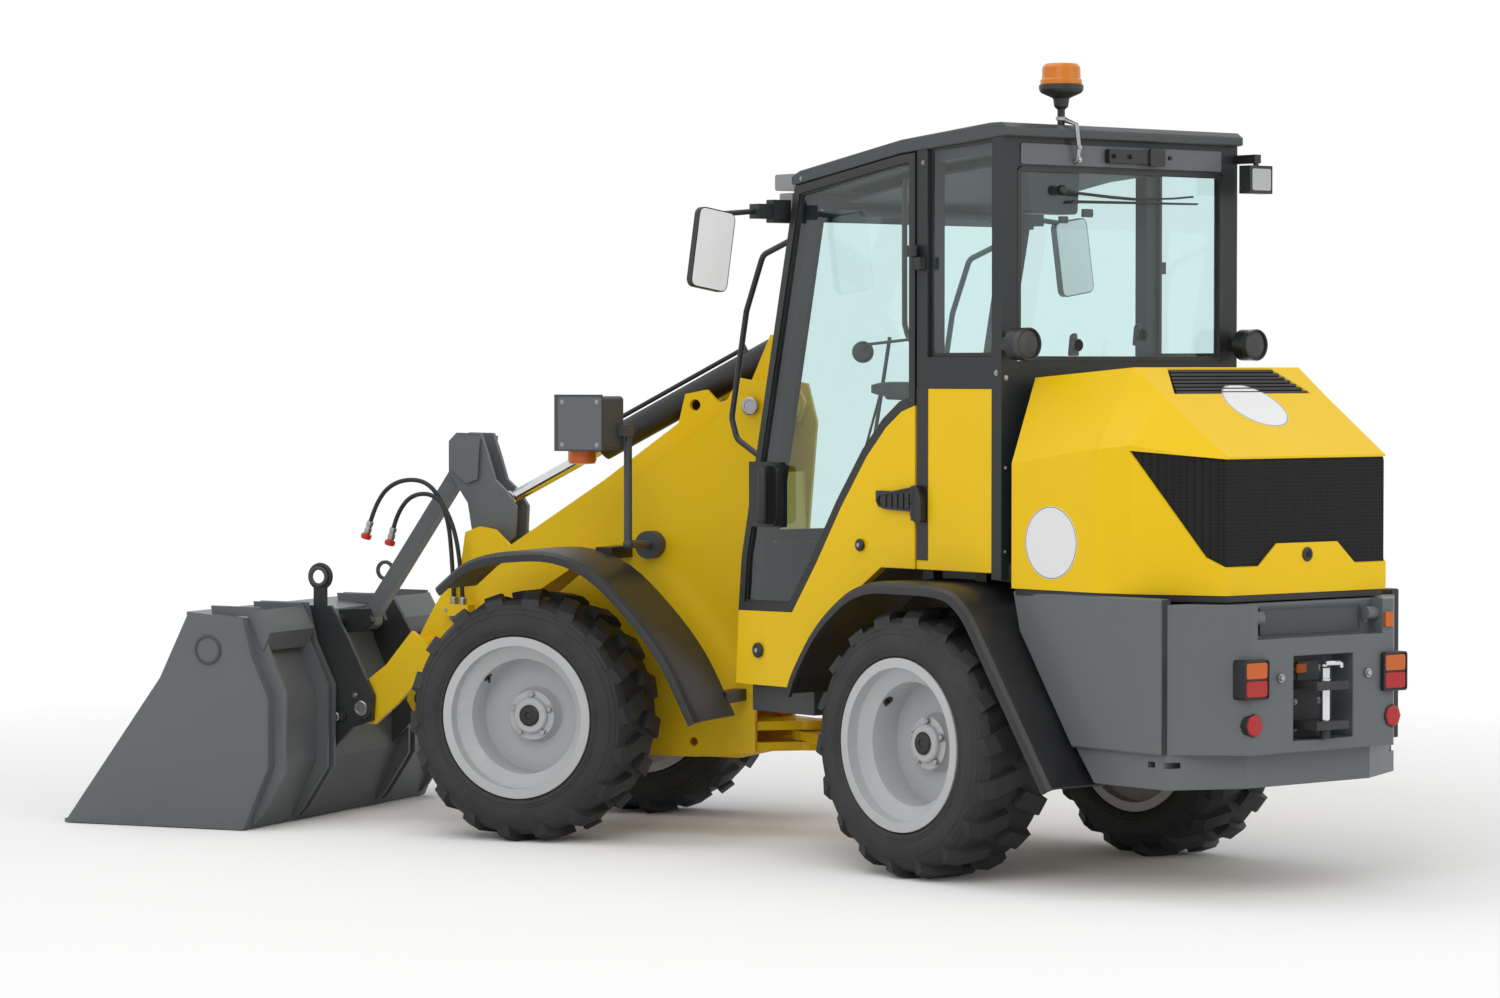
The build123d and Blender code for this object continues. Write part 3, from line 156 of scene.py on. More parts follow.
class Sheet:
    """The node tree of one material, or of the world."""

    def __init__(self, name: str, world: bool = False) -> None:
        """Start an empty node tree with its output.

        Args:
            name: The material's or the world's name.
            world: The tree is a world's.
        """
        self.owner = (bpy.data.worlds if world else bpy.data.materials).new(name)
        self.owner.use_nodes = True
        self.tree = self.owner.node_tree
        self.tree.nodes.clear()
        self.output = self.tree.nodes.new("ShaderNodeOutputWorld" if world else "ShaderNodeOutputMaterial")

    def node(self, kind: str, settings: dict, inputs: dict, output: "str | int" = 0) -> Socket:
        """Add one node.

        Args:
            kind: The node's type.
            settings: Properties set first; "stops" gives a ramp's (place, colour) pairs.
            inputs: Values or sockets by input name or index.
            output: Name or index of the output wanted.

        Returns:
            The wrapped output.
        """
        made = self.tree.nodes.new(kind)
        for key, value in settings.items():
            if key == "stops":
                ramp = made.color_ramp.elements
                while len(ramp) < len(value):
                    ramp.new(0.5)
                for stop, (place, colour) in zip(ramp, value):
                    stop.position = place
                    stop.color = (*colour, 1.0)
            else:
                setattr(made, key, value)
        for key, value in inputs.items():
            target = made.inputs[key]
            if isinstance(value, Socket):
                self.tree.links.new(value.link, target)
            elif isinstance(value, tuple) and len(value) == 3 and target.type == "RGBA":
                target.default_value = (*value, 1.0)
            else:
                target.default_value = value
        return Socket(self, made.outputs[output])

    def place(self) -> Socket:
        """The point on the machine, in metres."""
        return self.node("ShaderNodeTexCoord", {}, {}, "Object")

    def height(self) -> Socket:
        """Height above the ground, in metres."""
        return self.node("ShaderNodeSeparateXYZ", {}, {"Vector": self.place()}, "Z")

    def noise(self, scale: float, detail: float = 2.0, roughness: float = 0.5) -> Socket:
        """Cloudy noise from 0 to 1 at a scale per metre."""
        inputs = {"Vector": self.place(), "Scale": scale, "Detail": detail, "Roughness": roughness}
        return self.node("ShaderNodeTexNoise", {}, inputs, "Fac")

    def ramp(self, value: Socket, low: float, high: float) -> Socket:
        """0 below low, 1 above high, and even between."""
        inputs = {"Value": value, "From Min": low, "From Max": high, "To Min": 0.0, "To Max": 1.0}
        return self.node("ShaderNodeMapRange", {"clamp": True}, inputs)

    def blend(self, mask: Socket, first: "Socket | Colour", second: "Socket | Colour") -> Socket:
        """A colour from first to second by a mask."""
        settings = {"data_type": "RGBA", "clamp_factor": True}
        return self.node("ShaderNodeMix", settings, {0: mask, 6: first, 7: second}, 2)

    def bump(self, height: Socket, depth: float, strength: float = 1.0) -> Socket:
        """A normal from a height, with the depth in metres."""
        return self.node("ShaderNodeBump", {}, {"Height": height, "Distance": depth, "Strength": strength})

    def mix(self, factor: Socket, first: Socket, second: Socket) -> Socket:
        """A shader from first to second by a factor."""
        return self.node("ShaderNodeMixShader", {}, {0: factor, 1: first, 2: second})

    def close(self, shader: Socket) -> "bpy.types.Material | bpy.types.World":
        """End the tree with a shader and hand over the material or world."""
        self.tree.links.new(shader.link, self.output.inputs["Surface"])
        return self.owner

    def surface(self, inputs: dict) -> bpy.types.Material:
        """Close the material with one Principled shader."""
        return self.close(self.node("ShaderNodeBsdfPrincipled", {}, inputs))


class Finish(Protocol):
    """What every finish of the machine offers."""

    name: str

    def material(self) -> bpy.types.Material:
        """Build the finish."""


@dataclass(frozen=True)
class Lacquer:
    """Sprayed paint with faint orange peel, a film of dust low down and dull patches."""

    name: str
    colour: Colour
    roughness: float = 0.34
    coat: float = 0.35
    dust: float = 0.25
    dust_colour: Colour = (0.23, 0.21, 0.18)
    dusty_height: Span = (0.15, 0.95)
    faded: float = 0.88
    coat_roughness: float = 0.12
    specular: float = 0.22
    peel: float = 0.00004

    def material(self) -> bpy.types.Material:
        """Build the paint.

        Returns:
            The material.
        """
        sheet = Sheet(self.name)
        cloud = sheet.noise(2.3, 5.0, 0.6)
        fine = sheet.noise(260.0, 2.0)
        low = 1 - sheet.ramp(sheet.height(), *self.dusty_height)
        film = (low * sheet.ramp(cloud, 0.32, 0.75) * self.dust).clamped()
        faded = tuple(self.faded * c for c in self.colour)
        paint = sheet.blend(sheet.ramp(cloud, 0.3, 0.8) * 0.35, self.colour, faded)
        base = sheet.blend(film, paint, self.dust_colour)
        return sheet.surface({
            "Base Color": base,
            "Roughness": (film * 0.6 + cloud * 0.12 + (self.roughness - 0.06)).clamped(),
            "Coat Weight": self.coat,
            "Coat Roughness": self.coat_roughness,
            "Specular IOR Level": self.specular,
            "Normal": sheet.bump(fine, self.peel, 0.35),
        })


@dataclass(frozen=True)
class Moulding:
    """Grained plastic, paler where it is rubbed."""

    name: str
    colour: Colour
    roughness: float = 0.55
    grain: float = 900.0
    depth: float = 0.00015
    rubbed: float = 0.5

    def material(self) -> bpy.types.Material:
        """Build the plastic.

        Returns:
            The material.
        """
        sheet = Sheet(self.name)
        cloud = sheet.noise(3.1, 4.0, 0.6)
        grain = sheet.noise(self.grain, 2.0)
        pale = tuple(min(1.0, c * 1.7 + 0.02) for c in self.colour)
        base = sheet.blend(sheet.ramp(cloud, 0.35, 0.85) * self.rubbed, self.colour, pale)
        return sheet.surface({
            "Base Color": base,
            "Roughness": (self.roughness - 0.1 + cloud * 0.2).clamped(),
            "Normal": sheet.bump(grain, self.depth, 0.6),
        })


@dataclass(frozen=True)
class TyreRubber:
    """Black tyre rubber with dust on the tread and a fine matt skin."""

    name: str
    colour: Colour = (0.018, 0.019, 0.021)
    dust_colour: Colour = (0.075, 0.074, 0.073)
    dust: float = 0.45
    depth: float = 0.0006

    def material(self) -> bpy.types.Material:
        """Build the rubber.

        Returns:
            The material.
        """
        sheet = Sheet(self.name)
        cloud = sheet.noise(7.0, 6.0, 0.65)
        fine = sheet.noise(420.0, 3.0)
        dust = sheet.ramp(cloud, 0.42, 0.85) * self.dust
        base = sheet.blend(dust, self.colour, self.dust_colour)
        return sheet.surface({
            "Base Color": base,
            "Roughness": (0.52 + cloud * 0.3).clamped(),
            "Normal": sheet.bump(fine * 0.4 + cloud, self.depth, 0.5),
        })


@dataclass(frozen=True)
class Metal:
    """Bare or plated metal with fine scratches."""

    name: str
    colour: Colour
    roughness: float = 0.3
    metallic: float = 1.0
    scratch: float = 0.15
    depth: float = 0.00006

    def material(self) -> bpy.types.Material:
        """Build the metal.

        Returns:
            The material.
        """
        sheet = Sheet(self.name)
        cloud = sheet.noise(9.0, 5.0, 0.6)
        fine = sheet.noise(700.0, 2.0)
        darker = tuple(c * (0.7 if self.metallic > 0.2 else 0.95) for c in self.colour)
        base = sheet.blend(sheet.ramp(cloud, 0.35, 0.8), self.colour, darker)
        return sheet.surface({
            "Base Color": base,
            "Metallic": self.metallic,
            "Roughness": (self.roughness + (cloud - 0.5) * self.scratch).clamped(),
            "Normal": sheet.bump(fine, self.depth, 0.4),
        })


@dataclass(frozen=True)
class Pane:
    """Tinted safety glass: clear straight on, mirroring at a slant."""

    name: str
    tint: Colour = (0.885, 0.955, 0.95)
    shine: Colour = (0.9, 0.95, 0.95)
    polish: float = 0.03
    least: float = 0.03
    bending: float = 1.4

    def material(self) -> bpy.types.Material:
        """Build the glass.

        Returns:
            The material.
        """
        sheet = Sheet(self.name)
        slant = sheet.node("ShaderNodeFresnel", {}, {"IOR": self.bending})
        back = sheet.node("ShaderNodeNewGeometry", {}, {}, "Backfacing")
        haze = sheet.ramp(sheet.noise(1.7, 3.0), 0.3, 0.9) * 0.02
        clear = sheet.node("ShaderNodeBsdfTransparent", {}, {"Color": self.tint})
        gloss = sheet.node("ShaderNodeBsdfGlossy", {}, {"Color": self.shine, "Roughness": self.polish})
        factor = ((slant + haze + self.least) * (1 - back)).clamped()
        return sheet.close(sheet.mix(factor, clear, gloss))


@dataclass(frozen=True)
class Lens:
    """Coloured lamp plastic with moulded ribs under its skin."""

    name: str
    colour: Colour
    ribs: float = 160.0
    depth: float = 0.0006
    shade: float = 0.45

    def material(self) -> bpy.types.Material:
        """Build the lens.

        Returns:
            The material.
        """
        sheet = Sheet(self.name)
        wave = sheet.node(
            "ShaderNodeTexWave", {"wave_type": "BANDS", "bands_direction": "Z"},
            {"Vector": sheet.place(), "Scale": self.ribs, "Distortion": 0.0}, "Fac",
        )
        deep = tuple(c * self.shade for c in self.colour)
        base = sheet.blend(wave, deep, self.colour)
        return sheet.surface({
            "Base Color": base, "Roughness": 0.2, "Coat Weight": 0.2, "Specular IOR Level": 0.35,
            "Normal": sheet.bump(wave, self.depth, 0.5),
        })


@dataclass(frozen=True)
class Weave:
    """Woven seat cloth."""

    name: str
    colour: Colour
    pitch: float = 900.0
    depth: float = 0.0008

    def material(self) -> bpy.types.Material:
        """Build the cloth.

        Returns:
            The material.
        """
        sheet = Sheet(self.name)
        inputs = {"Vector": sheet.place(), "Scale": self.pitch}
        weft = sheet.node("ShaderNodeTexWave", {"bands_direction": "Y"}, inputs, "Fac")
        warp = sheet.node("ShaderNodeTexWave", {"bands_direction": "Z"}, inputs, "Fac")
        thread = weft * warp
        pale = tuple(min(1.0, c * 1.5 + 0.01) for c in self.colour)
        return sheet.surface({
            "Base Color": sheet.blend(thread, self.colour, pale),
            "Roughness": 0.85,
            "Sheen Weight": 0.25,
            "Normal": sheet.bump(thread, self.depth, 0.7),
        })


@dataclass(frozen=True)
class Perforated:
    """Sheet metal with rows of round holes, painted on rather than cut; their dark insides are painted shade.
    """

    name: str
    colour: Colour
    pitch: float = 0.011
    hole: float = 0.30
    rim: float = 0.12
    # inside: painted shade, the near-black standing for the dark space seen through each hole.
    inside: Colour = (0.002, 0.002, 0.002)
    depth: float = 0.002

    def material(self) -> bpy.types.Material:
        """Build the perforated sheet.

        Returns:
            The material.
        """
        sheet = Sheet(self.name)
        inputs = {"Vector": sheet.place(), "Scale": 1.0 / self.pitch, "Randomness": 0.0}
        cell = sheet.node("ShaderNodeTexVoronoi", {"feature": "F1"}, inputs, "Distance")
        cloud = sheet.noise(5.0, 4.0, 0.6)
        rim = sheet.ramp(cell, self.hole, self.hole + self.rim)
        dusty = tuple(c * 1.8 + 0.004 for c in self.colour)
        face = sheet.blend(cloud, self.colour, dusty)
        return sheet.surface({
            "Base Color": sheet.blend(rim, self.inside, face),
            "Roughness": (0.5 + cloud * 0.2).clamped(),
            "Specular IOR Level": 0.2,
            "Normal": sheet.bump(rim, self.depth, 0.8),
        })


@dataclass(frozen=True)
class HoseRubber:
    """Ribbed black hose with a dull braided skin."""

    name: str
    colour: Colour = (0.010, 0.010, 0.011)
    worn: Colour = (0.045, 0.045, 0.044)
    braid: float = 260.0
    depth: float = 0.0003

    def material(self) -> bpy.types.Material:
        """Build the hose's skin.

        Returns:
            The material.
        """
        sheet = Sheet(self.name)
        braid = sheet.node(
            "ShaderNodeTexWave", {"wave_type": "BANDS", "bands_direction": "DIAGONAL"},
            {"Vector": sheet.place(), "Scale": self.braid, "Distortion": 1.5, "Detail": 1.0}, "Fac",
        )
        cloud = sheet.noise(14.0, 4.0, 0.6)
        base = sheet.blend(sheet.ramp(cloud, 0.4, 0.9) * 0.6, self.colour, self.worn)
        return sheet.surface({
            "Base Color": base,
            "Roughness": (0.42 + cloud * 0.25).clamped(),
            "Normal": sheet.bump(braid, self.depth, 0.5),
        })


class Paints:
    """The machine's finishes, each built once."""

    YELLOW = Lacquer("yellow_lacquer", (0.84, 0.545, 0.001), 0.42, 0.08, 0.2)
    ANTHRACITE = Lacquer("anthracite_lacquer", (0.026, 0.030, 0.033), 0.42, 0.15)
    ROOF = Lacquer("roof_lacquer", (0.060, 0.066, 0.070), 0.4, 0.2)
    GREY = Lacquer("grey_lacquer", (0.125, 0.138, 0.147), 0.42, 0.15)
    SILVER = Lacquer("rim_lacquer", (0.50, 0.51, 0.525), 0.35, 0.25, 0.12)
    PALE = Lacquer("pale_lacquer", (0.27, 0.28, 0.29), 0.4, 0.2, 0.1)
    BLACK = Moulding("black_moulding", (0.009, 0.0095, 0.011), 0.42)
    CHARCOAL = Moulding("charcoal_moulding", (0.045, 0.048, 0.052))
    TYRE = TyreRubber("tyre_rubber")
    CHROME = Metal("chromed_rod", (0.75, 0.76, 0.78), 0.12, 1.0, 0.06)
    STEEL = Metal("zinc_steel", (0.42, 0.42, 0.43), 0.38)
    IRON = Metal("cast_iron", (0.05, 0.052, 0.055), 0.6, 0.3)
    GLASS = Pane("cab_glass")
    RED = Lacquer("red_lacquer", (0.62, 0.018, 0.012), 0.32, 0.3, 0.08)
    WHITE = Lacquer("white_disc", (0.78, 0.785, 0.79), 0.3, 0.2, 0.06)
    # Mirror glass as flat near-white paint, not metal: a painted reflection of the pale surroundings.
    MIRROR_PAINTED_REFLECTION = Metal("mirror_painted_reflection", (0.92, 0.92, 0.92), 0.3, 0.0, 0.02)
    RED_LENS = Lens("red_lens", (0.60, 0.008, 0.006))
    AMBER_LENS = Lens("amber_lens", (0.80, 0.15, 0.004))
    BEACON = Lens("beacon_lens", (0.86, 0.25, 0.004), 90.0)
    CLEAR_LENS = Lens("clear_lens", (0.62, 0.64, 0.65), 120.0)
    SMOKED_LENS = Lens("smoked_lens", (0.045, 0.05, 0.052), 120.0)
    GRILLE = Perforated("perforated_grille", (0.006, 0.006, 0.0065))
    HOSE = HoseRubber("hose_skin")
    CLOTH = Weave("seat_cloth", (0.03, 0.032, 0.035))

    SLOT = {
        "orange_paint": (YELLOW,), "anthracite_paint": (ANTHRACITE, ROOF), "grey_paint": (GREY, PALE),
        "silver_paint": (SILVER, WHITE), "black_plastic": (BLACK, CHARCOAL, GRILLE), "tyre": (TYRE,),
        "chrome": (CHROME, MIRROR_PAINTED_REFLECTION), "bare_steel": (STEEL,), "cast_iron": (IRON,), "glass": (GLASS,),
        "red_paint": (RED,), "lamp_lens": (RED_LENS, AMBER_LENS, CLEAR_LENS, SMOKED_LENS),
        "beacon_lens": (BEACON,), "hose_rubber": (HOSE,), "seat_cover": (CLOTH,),
    }
    _made: dict[str, bpy.types.Material] = {}

    @classmethod
    def get(cls, finish: Finish) -> bpy.types.Material:
        """The material of a finish.

        Args:
            finish: A finish of Paints.

        Returns:
            The material, built at its first use.
        """
        if finish.name not in cls._made:
            cls._made[finish.name] = finish.material()
        return cls._made[finish.name]

    @classmethod
    def slot(cls, finish: Finish) -> str:
        """The material slot that a finish belongs to."""
        return next(slot for slot, finishes in cls.SLOT.items() if finish in finishes)


def across(axis: Vector) -> tuple[Vector, Vector]:
    """Two unit directions at right angles to an axis and to each other."""
    first = axis.orthogonal().normalized()
    return first, axis.normalized().cross(first)


def circle(first: Vector, second: Vector, steps: int) -> list[Vector]:
    """Unit spokes round a circle that two directions at right angles span."""
    turns = [math.tau * step / steps for step in range(steps)]
    return [first * math.cos(turn) + second * math.sin(turn) for turn in turns]


def span(side: int, first: float, second: float) -> list[float]:
    """The low and the high of two distances on one side of the machine, 1 for left and -1 for right."""
    return sorted((side * first, side * second))


def closed(bm: bmesh.types.BMesh, name: str) -> bpy.types.Mesh:
    """A mesh of what is drawn, which is then put away.

    Args:
        bm: What is drawn.
        name: The mesh's name.

    Returns:
        The mesh.
    """
    mesh = bpy.data.meshes.new(name)
    bm.to_mesh(mesh)
    bm.free()
    return mesh


def stood(name: str, data: bpy.types.ID) -> bpy.types.Object:
    """A new object in the scene.

    Args:
        name: The object's name.
        data: Its mesh, curve, camera or light.

    Returns:
        The object.
    """
    thing = bpy.data.objects.new(name, data)
    bpy.context.scene.collection.objects.link(thing)
    return thing


class Seen(Enum):
    """The side from which an outline is drawn."""

    SIDE = "y"
    PLAN = "z"
    END = "x"

    def point(self, a: float, b: float, level: float) -> Vector:
        """The point at (x, z) in side view, (x, y) in plan or (y, z) in end view, at a level across it.

        Args:
            a: The first distance.
            b: The second distance.
            level: How far across.

        Returns:
            The point.
        """
        if self is Seen.SIDE:
            return Vector((a, level, b))
        return Vector((a, b, level)) if self is Seen.PLAN else Vector((level, a, b))


class Draft:
    """A mesh drawn in millimetres on one frame of the machine, standing straight."""

    def __init__(self) -> None:
        """Start with nothing drawn."""
        self.bm = bmesh.new()

    def rings(self, rings: Sequence[Sequence[Vector]], joined: bool = False) -> "Draft":
        """Join closed rings of as many points each by faces.

        Args:
            rings: The rings, in order.
            joined: Join the last ring to the first instead of capping both ends.

        Returns:
            This draft.
        """
        rows = [[self.bm.verts.new(point) for point in ring] for ring in rings]
        pairs = list(zip(rows, rows[1:]))
        if joined:
            pairs.append((rows[-1], rows[0]))
        else:
            self.bm.faces.new(rows[0])
            self.bm.faces.new(rows[-1])
        for low, high in pairs:
            for index in range(len(low)):
                after = (index + 1) % len(low)
                self.bm.faces.new((low[index], low[after], high[after], high[index]))
        return self

    def prism(self, outline: Sequence[tuple], low: float, high: float, seen: Seen = Seen.SIDE) -> "Draft":
        """A plate from an outline as it is seen, between two levels across it."""
        return self.rings([[seen.point(a, b, level) for a, b in outline] for level in (low, high)])

    def border(
        self, outline: Sequence[tuple], width: float, low: float, high: float, seen: Seen = Seen.SIDE,
    ) -> "Draft":
        """A flat frame of a width inside an outline, between two levels across it.

        Args:
            outline: Its corners, in order.
            width: How wide the frame is.
            low: The lower level.
            high: The upper level.
            seen: The side from which the outline is seen.

        Returns:
            This draft.
        """
        inner = inset(outline, width)
        loops = ((outline, low), (outline, high), (inner, high), (inner, low))
        return self.rings([[seen.point(a, b, level) for a, b in loop] for loop, level in loops], True)

    def box(self, x: tuple, y: tuple, z: tuple) -> "Draft":
        """A box from its low and high value along each axis."""
        return self.prism([(x[0], z[0]), (x[1], z[0]), (x[1], z[1]), (x[0], z[1])], *y)

    def turned(
        self, profile: Sequence[tuple], centre: Sequence[Number], axis: Vector = Y, steps: int = 40,
        joined: bool = False,
    ) -> "Draft":
        """A form turned about an axis, from (radius, distance along the axis) pairs.

        Args:
            profile: The pairs, in order.
            centre: Where the axis starts.
            axis: The axis.
            steps: Points round each ring.
            joined: The profile closes on itself, as a ring's does.

        Returns:
            This draft.
        """
        unit = axis.normalized()
        spokes = circle(*across(unit), steps)
        start = Vector(centre)
        rings = [[start + unit * along + spoke * radius for spoke in spokes] for radius, along in profile]
        return self.rings(rings, joined)

    def ring(self, centre: Sequence[Number], radius: float, wire: float, axis: Vector = Y) -> "Draft":
        """A round wire bent to a ring.

        Args:
            centre: The middle.
            radius: The ring's radius.
            wire: The wire's radius.
            axis: The ring's axis.

        Returns:
            This draft.
        """
        profile = [
            (radius + wire * math.cos(math.tau * step / 10), wire * math.sin(math.tau * step / 10))
            for step in range(10)
        ]
        return self.turned(profile, centre, axis, 48, True)

    def tube(self, points: Sequence[Sequence[Number]], radius: float, steps: int = 12) -> "Draft":
        """A round bar along a line of points.

        Args:
            points: The line, in order.
            radius: The bar's radius.
            steps: Points round it.

        Returns:
            This draft.
        """
        line = [Vector(point) for point in points]
        rings = []
        side = None
        for index, point in enumerate(line):
            before = line[max(index - 1, 0)]
            after = line[min(index + 1, len(line) - 1)]
            along = (after - before).normalized()
            side = across(along)[0] if side is None else (side - along * side.dot(along)).normalized()
            rings.append([point + spoke * radius for spoke in circle(side, along.cross(side), steps)])
        return self.rings(rings)

    def bolt(self, seat: Sequence[Number], axis: Vector, size: float = 10.0) -> "Draft":
        """A hexagon bolt's head on its washer, standing on a seat; size is across its corners.

        Args:
            seat: Where it stands.
            axis: The way it points.
            size: Across its corners.

        Returns:
            This draft.
        """
        self.turned([(size * 0.72, 0), (size * 0.72, size * 0.14)], seat, axis, 24)
        head = Vector(seat) + axis.normalized() * size * 0.14
        self.turned([(size * 0.5, 0), (size * 0.5, size * 0.3), (size * 0.42, size * 0.38)], head, axis, 6)
        return self

    def mirrored(self) -> "Draft":
        """Add the same on the machine's other side.

        Returns:
            This draft.
        """
        made = bmesh.ops.duplicate(self.bm, geom=self.bm.verts[:] + self.bm.edges[:] + self.bm.faces[:])
        for item in made["geom"]:
            if isinstance(item, bmesh.types.BMVert):
                item.co.y = -item.co.y
        return self

    def mesh(self, name: str, stand: Stand) -> bpy.types.Mesh:
        """The finished mesh in metres, where it stands on the machine.

        Args:
            name: The mesh's name.
            stand: The frame that it is drawn on.

        Returns:
            The mesh.
        """
        bmesh.ops.transform(self.bm, matrix=stand.matrix(), verts=self.bm.verts)
        bmesh.ops.recalc_face_normals(self.bm, faces=self.bm.faces)
        return closed(self.bm, name)


def rounded(outline: Sequence[tuple], radius: float, steps: int = 4) -> list[tuple]:
    """An outline with each corner cut to an arc-like run of points.

    Args:
        outline: Its corners, in order.
        radius: How far before each corner the cut starts.
        steps: Parts of each cut.

    Returns:
        The new outline.
    """
    soft = []
    for index, corner in enumerate(outline):
        here = Vector(corner)
        before, after = Vector(outline[index - 1]), Vector(outline[(index + 1) % len(outline)])
        reach_in = min(radius, (before - here).length * 0.45)
        reach_out = min(radius, (after - here).length * 0.45)
        start = here + (before - here).normalized() * reach_in
        end = here + (after - here).normalized() * reach_out
        for step in range(steps + 1):
            t = step / steps
            soft.append(tuple(start * (1 - t) ** 2 + here * 2 * t * (1 - t) + end * t ** 2))
    return soft


def oblong(centre: tuple, width: float, height: float, radius: float) -> list[tuple]:
    """A rounded rectangle's outline about a centre."""
    (a, b), w, h = centre, width / 2, height / 2
    return rounded([(a - w, b - h), (a + w, b - h), (a + w, b + h), (a - w, b + h)], radius)


def inset(outline: Sequence[tuple], width: float) -> list[tuple]:
    """An outline drawn in by a width, corner by corner.

    Args:
        outline: Its corners, in order.
        width: How far each side moves in.

    Returns:
        The inner outline.
    """
    corners = [Vector(corner) for corner in outline]
    area = sum(a.x * b.y - b.x * a.y for a, b in zip(corners, corners[1:] + corners[:1]))
    turn = 1.0 if area > 0 else -1.0
    inner = []
    for index, here in enumerate(corners):
        into = (here - corners[index - 1]).normalized()
        out = (corners[(index + 1) % len(corners)] - here).normalized()
        first = Vector((-into.y, into.x)) * turn
        second = Vector((-out.y, out.x)) * turn
        middle = (first + second).normalized()
        inner.append(tuple(here + middle * width / max(0.3, middle.dot(first))))
    return inner


@dataclass
class Workshop:
    """Turns meshes into pieces that ride on a body."""

    bevel: float = 2.5
    crease: float = 28.0
    weld: float = 0.00002
    level: float = 0.4
    eased_angle: float = 9.0
    eased_length: float = 0.09
    eased_area: float = 0.010

    def dress(self, node: str, finish: Finish) -> bpy.types.Object:
        """Give a CAD node, as it is, a finish.

        Args:
            node: The node's name.
            finish: A finish of Paints.

        Returns:
            The node's object.
        """
        target = frame["nodes"][node]
        self.finish(target, finish)
        return target

    def soften(self, node: str, finish: Finish, bevel: "float | None" = None) -> bpy.types.Object:
        """Stand in for a CAD node with the same form and rounded edges.

        Args:
            node: The node's name.
            finish: A finish of Paints.
            bevel: The edges' radius in millimetres.

        Returns:
            The new piece.
        """
        source = frame["nodes"][node]
        bm = bmesh.new()
        bm.from_mesh(source.data)
        bmesh.ops.remove_doubles(bm, verts=bm.verts, dist=self.weld)
        bmesh.ops.dissolve_limit(
            bm, angle_limit=math.radians(self.level), verts=bm.verts, edges=bm.edges,
            use_dissolve_boundaries=False,
        )
        piece = stood(node + "_skin", closed(bm, node + "_skin"))
        self.finish(piece, finish)
        self.round_edges(piece, self.bevel if bevel is None else bevel)
        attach(piece, body_of(source)[0])
        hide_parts(node)
        return piece

    def piece(
        self, name: str, draft: Draft, stand: Stand, body: str, finish: Finish, bevel: float = 0.0,
        replaces: Sequence[str] = (),
    ) -> bpy.types.Object:
        """Make a piece from a draft.

        Args:
            name: The piece's name.
            draft: What is drawn, in millimetres.
            stand: The frame that it is drawn on.
            body: The body that it rides on.
            finish: A finish of Paints.
            bevel: The edges' radius in millimetres, or 0 for none.
            replaces: CAD nodes that it stands for.

        Returns:
            The piece.
        """
        piece = stood(name, draft.mesh(name, stand))
        self.finish(piece, finish)
        self.smooth(piece)
        if bevel:
            self.round_edges(piece, bevel)
        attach(piece, body)
        if replaces:
            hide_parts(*replaces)
        Paints.slot(finish)
        return piece

    def pieces(self, stand: Stand, body: str, rows: Sequence[tuple]) -> None:
        """Make pieces that ride on one body.

        Args:
            stand: The frame that they are drawn on.
            body: The body that they ride on.
            rows: Each piece's name, draft, finish, bevel and, if any, replaced nodes.
        """
        for name, draft, *rest in rows:
            self.piece(name, draft, stand, body, *rest)

    def smooth(self, piece: bpy.types.Object) -> None:
        """Shade a piece smooth between its hard edges.

        Args:
            piece: The piece.
        """
        for face in piece.data.polygons:
            face.use_smooth = True
        piece.data.set_sharp_from_angle(angle=math.radians(self.crease))

    def round_edges(self, piece: bpy.types.Object, width: float) -> None:
        """Round a piece's hard edges by a width in millimetres.

        Args:
            piece: The piece.
            width: The width of the cut.
        """
        rounder = piece.modifiers.new("edges", "BEVEL")
        rounder.width = width * MM
        rounder.segments = 2
        rounder.limit_method = "ANGLE"
        rounder.angle_limit = math.radians(self.crease)
        rounder.harden_normals = True
        rounder.use_clamp_overlap = True
        self.smooth(piece)

    def ease(self, piece: bpy.types.Object, width: float, small: float) -> None:
        """Round the long edges between large faces by a width, and the other edges by a small one, in mm.

        Args:
            piece: The piece.
            width: The long edges' width.
            small: The other edges' width.
        """
        bm = bmesh.new()
        bm.from_mesh(piece.data)
        layer = bm.edges.layers.float.new("bevel_weight_edge")
        for edge in bm.edges:
            if len(edge.link_faces) != 2 or edge.calc_face_angle(0.0) < math.radians(self.eased_angle):
                continue
            area = min(face.calc_area() for face in edge.link_faces)
            long = edge.calc_length() > self.eased_length and area > self.eased_area
            edge[layer] = 1.0 if long else small / width
        bm.to_mesh(piece.data)
        bm.free()
        rounder = piece.modifiers["edges"]
        rounder.limit_method = "WEIGHT"
        rounder.width = width * MM
        rounder.segments = 4

    def finish(self, piece: bpy.types.Object, finish: Finish) -> None:
        """Give a piece its material."""
        piece.data.materials.clear()
        piece.data.materials.append(Paints.get(finish))


SHOP = Workshop()
WHEEL_Z = REAR_LEFT.z / MM
TRACK = HALF_TRACK / MM
FRONT_X = (PIVOT_X + (FRONT_AXLE - PIVOT).to_2d().length) / MM
ROUND_MIRROR: Point = (470.0, 398.0, 1662.0)
MIRROR_FACE = Vector((0.8, -0.55, 0)).normalized()


class Wheel(Enum):
    """The four wheels: body, stand, distance from the rear axle and side."""

    REAR_LEFT = ("rear_left", Stand.REAR, 0.0, 1)
    REAR_RIGHT = ("rear_right", Stand.REAR, 0.0, -1)
    FRONT_LEFT = ("front_left", Stand.FRONT, FRONT_X, 1)
    FRONT_RIGHT = ("front_right", Stand.FRONT, FRONT_X, -1)

    @property
    def body(self) -> str:
        """The body that the wheel's pieces ride on."""
        return "wheel_" + self.value[0]


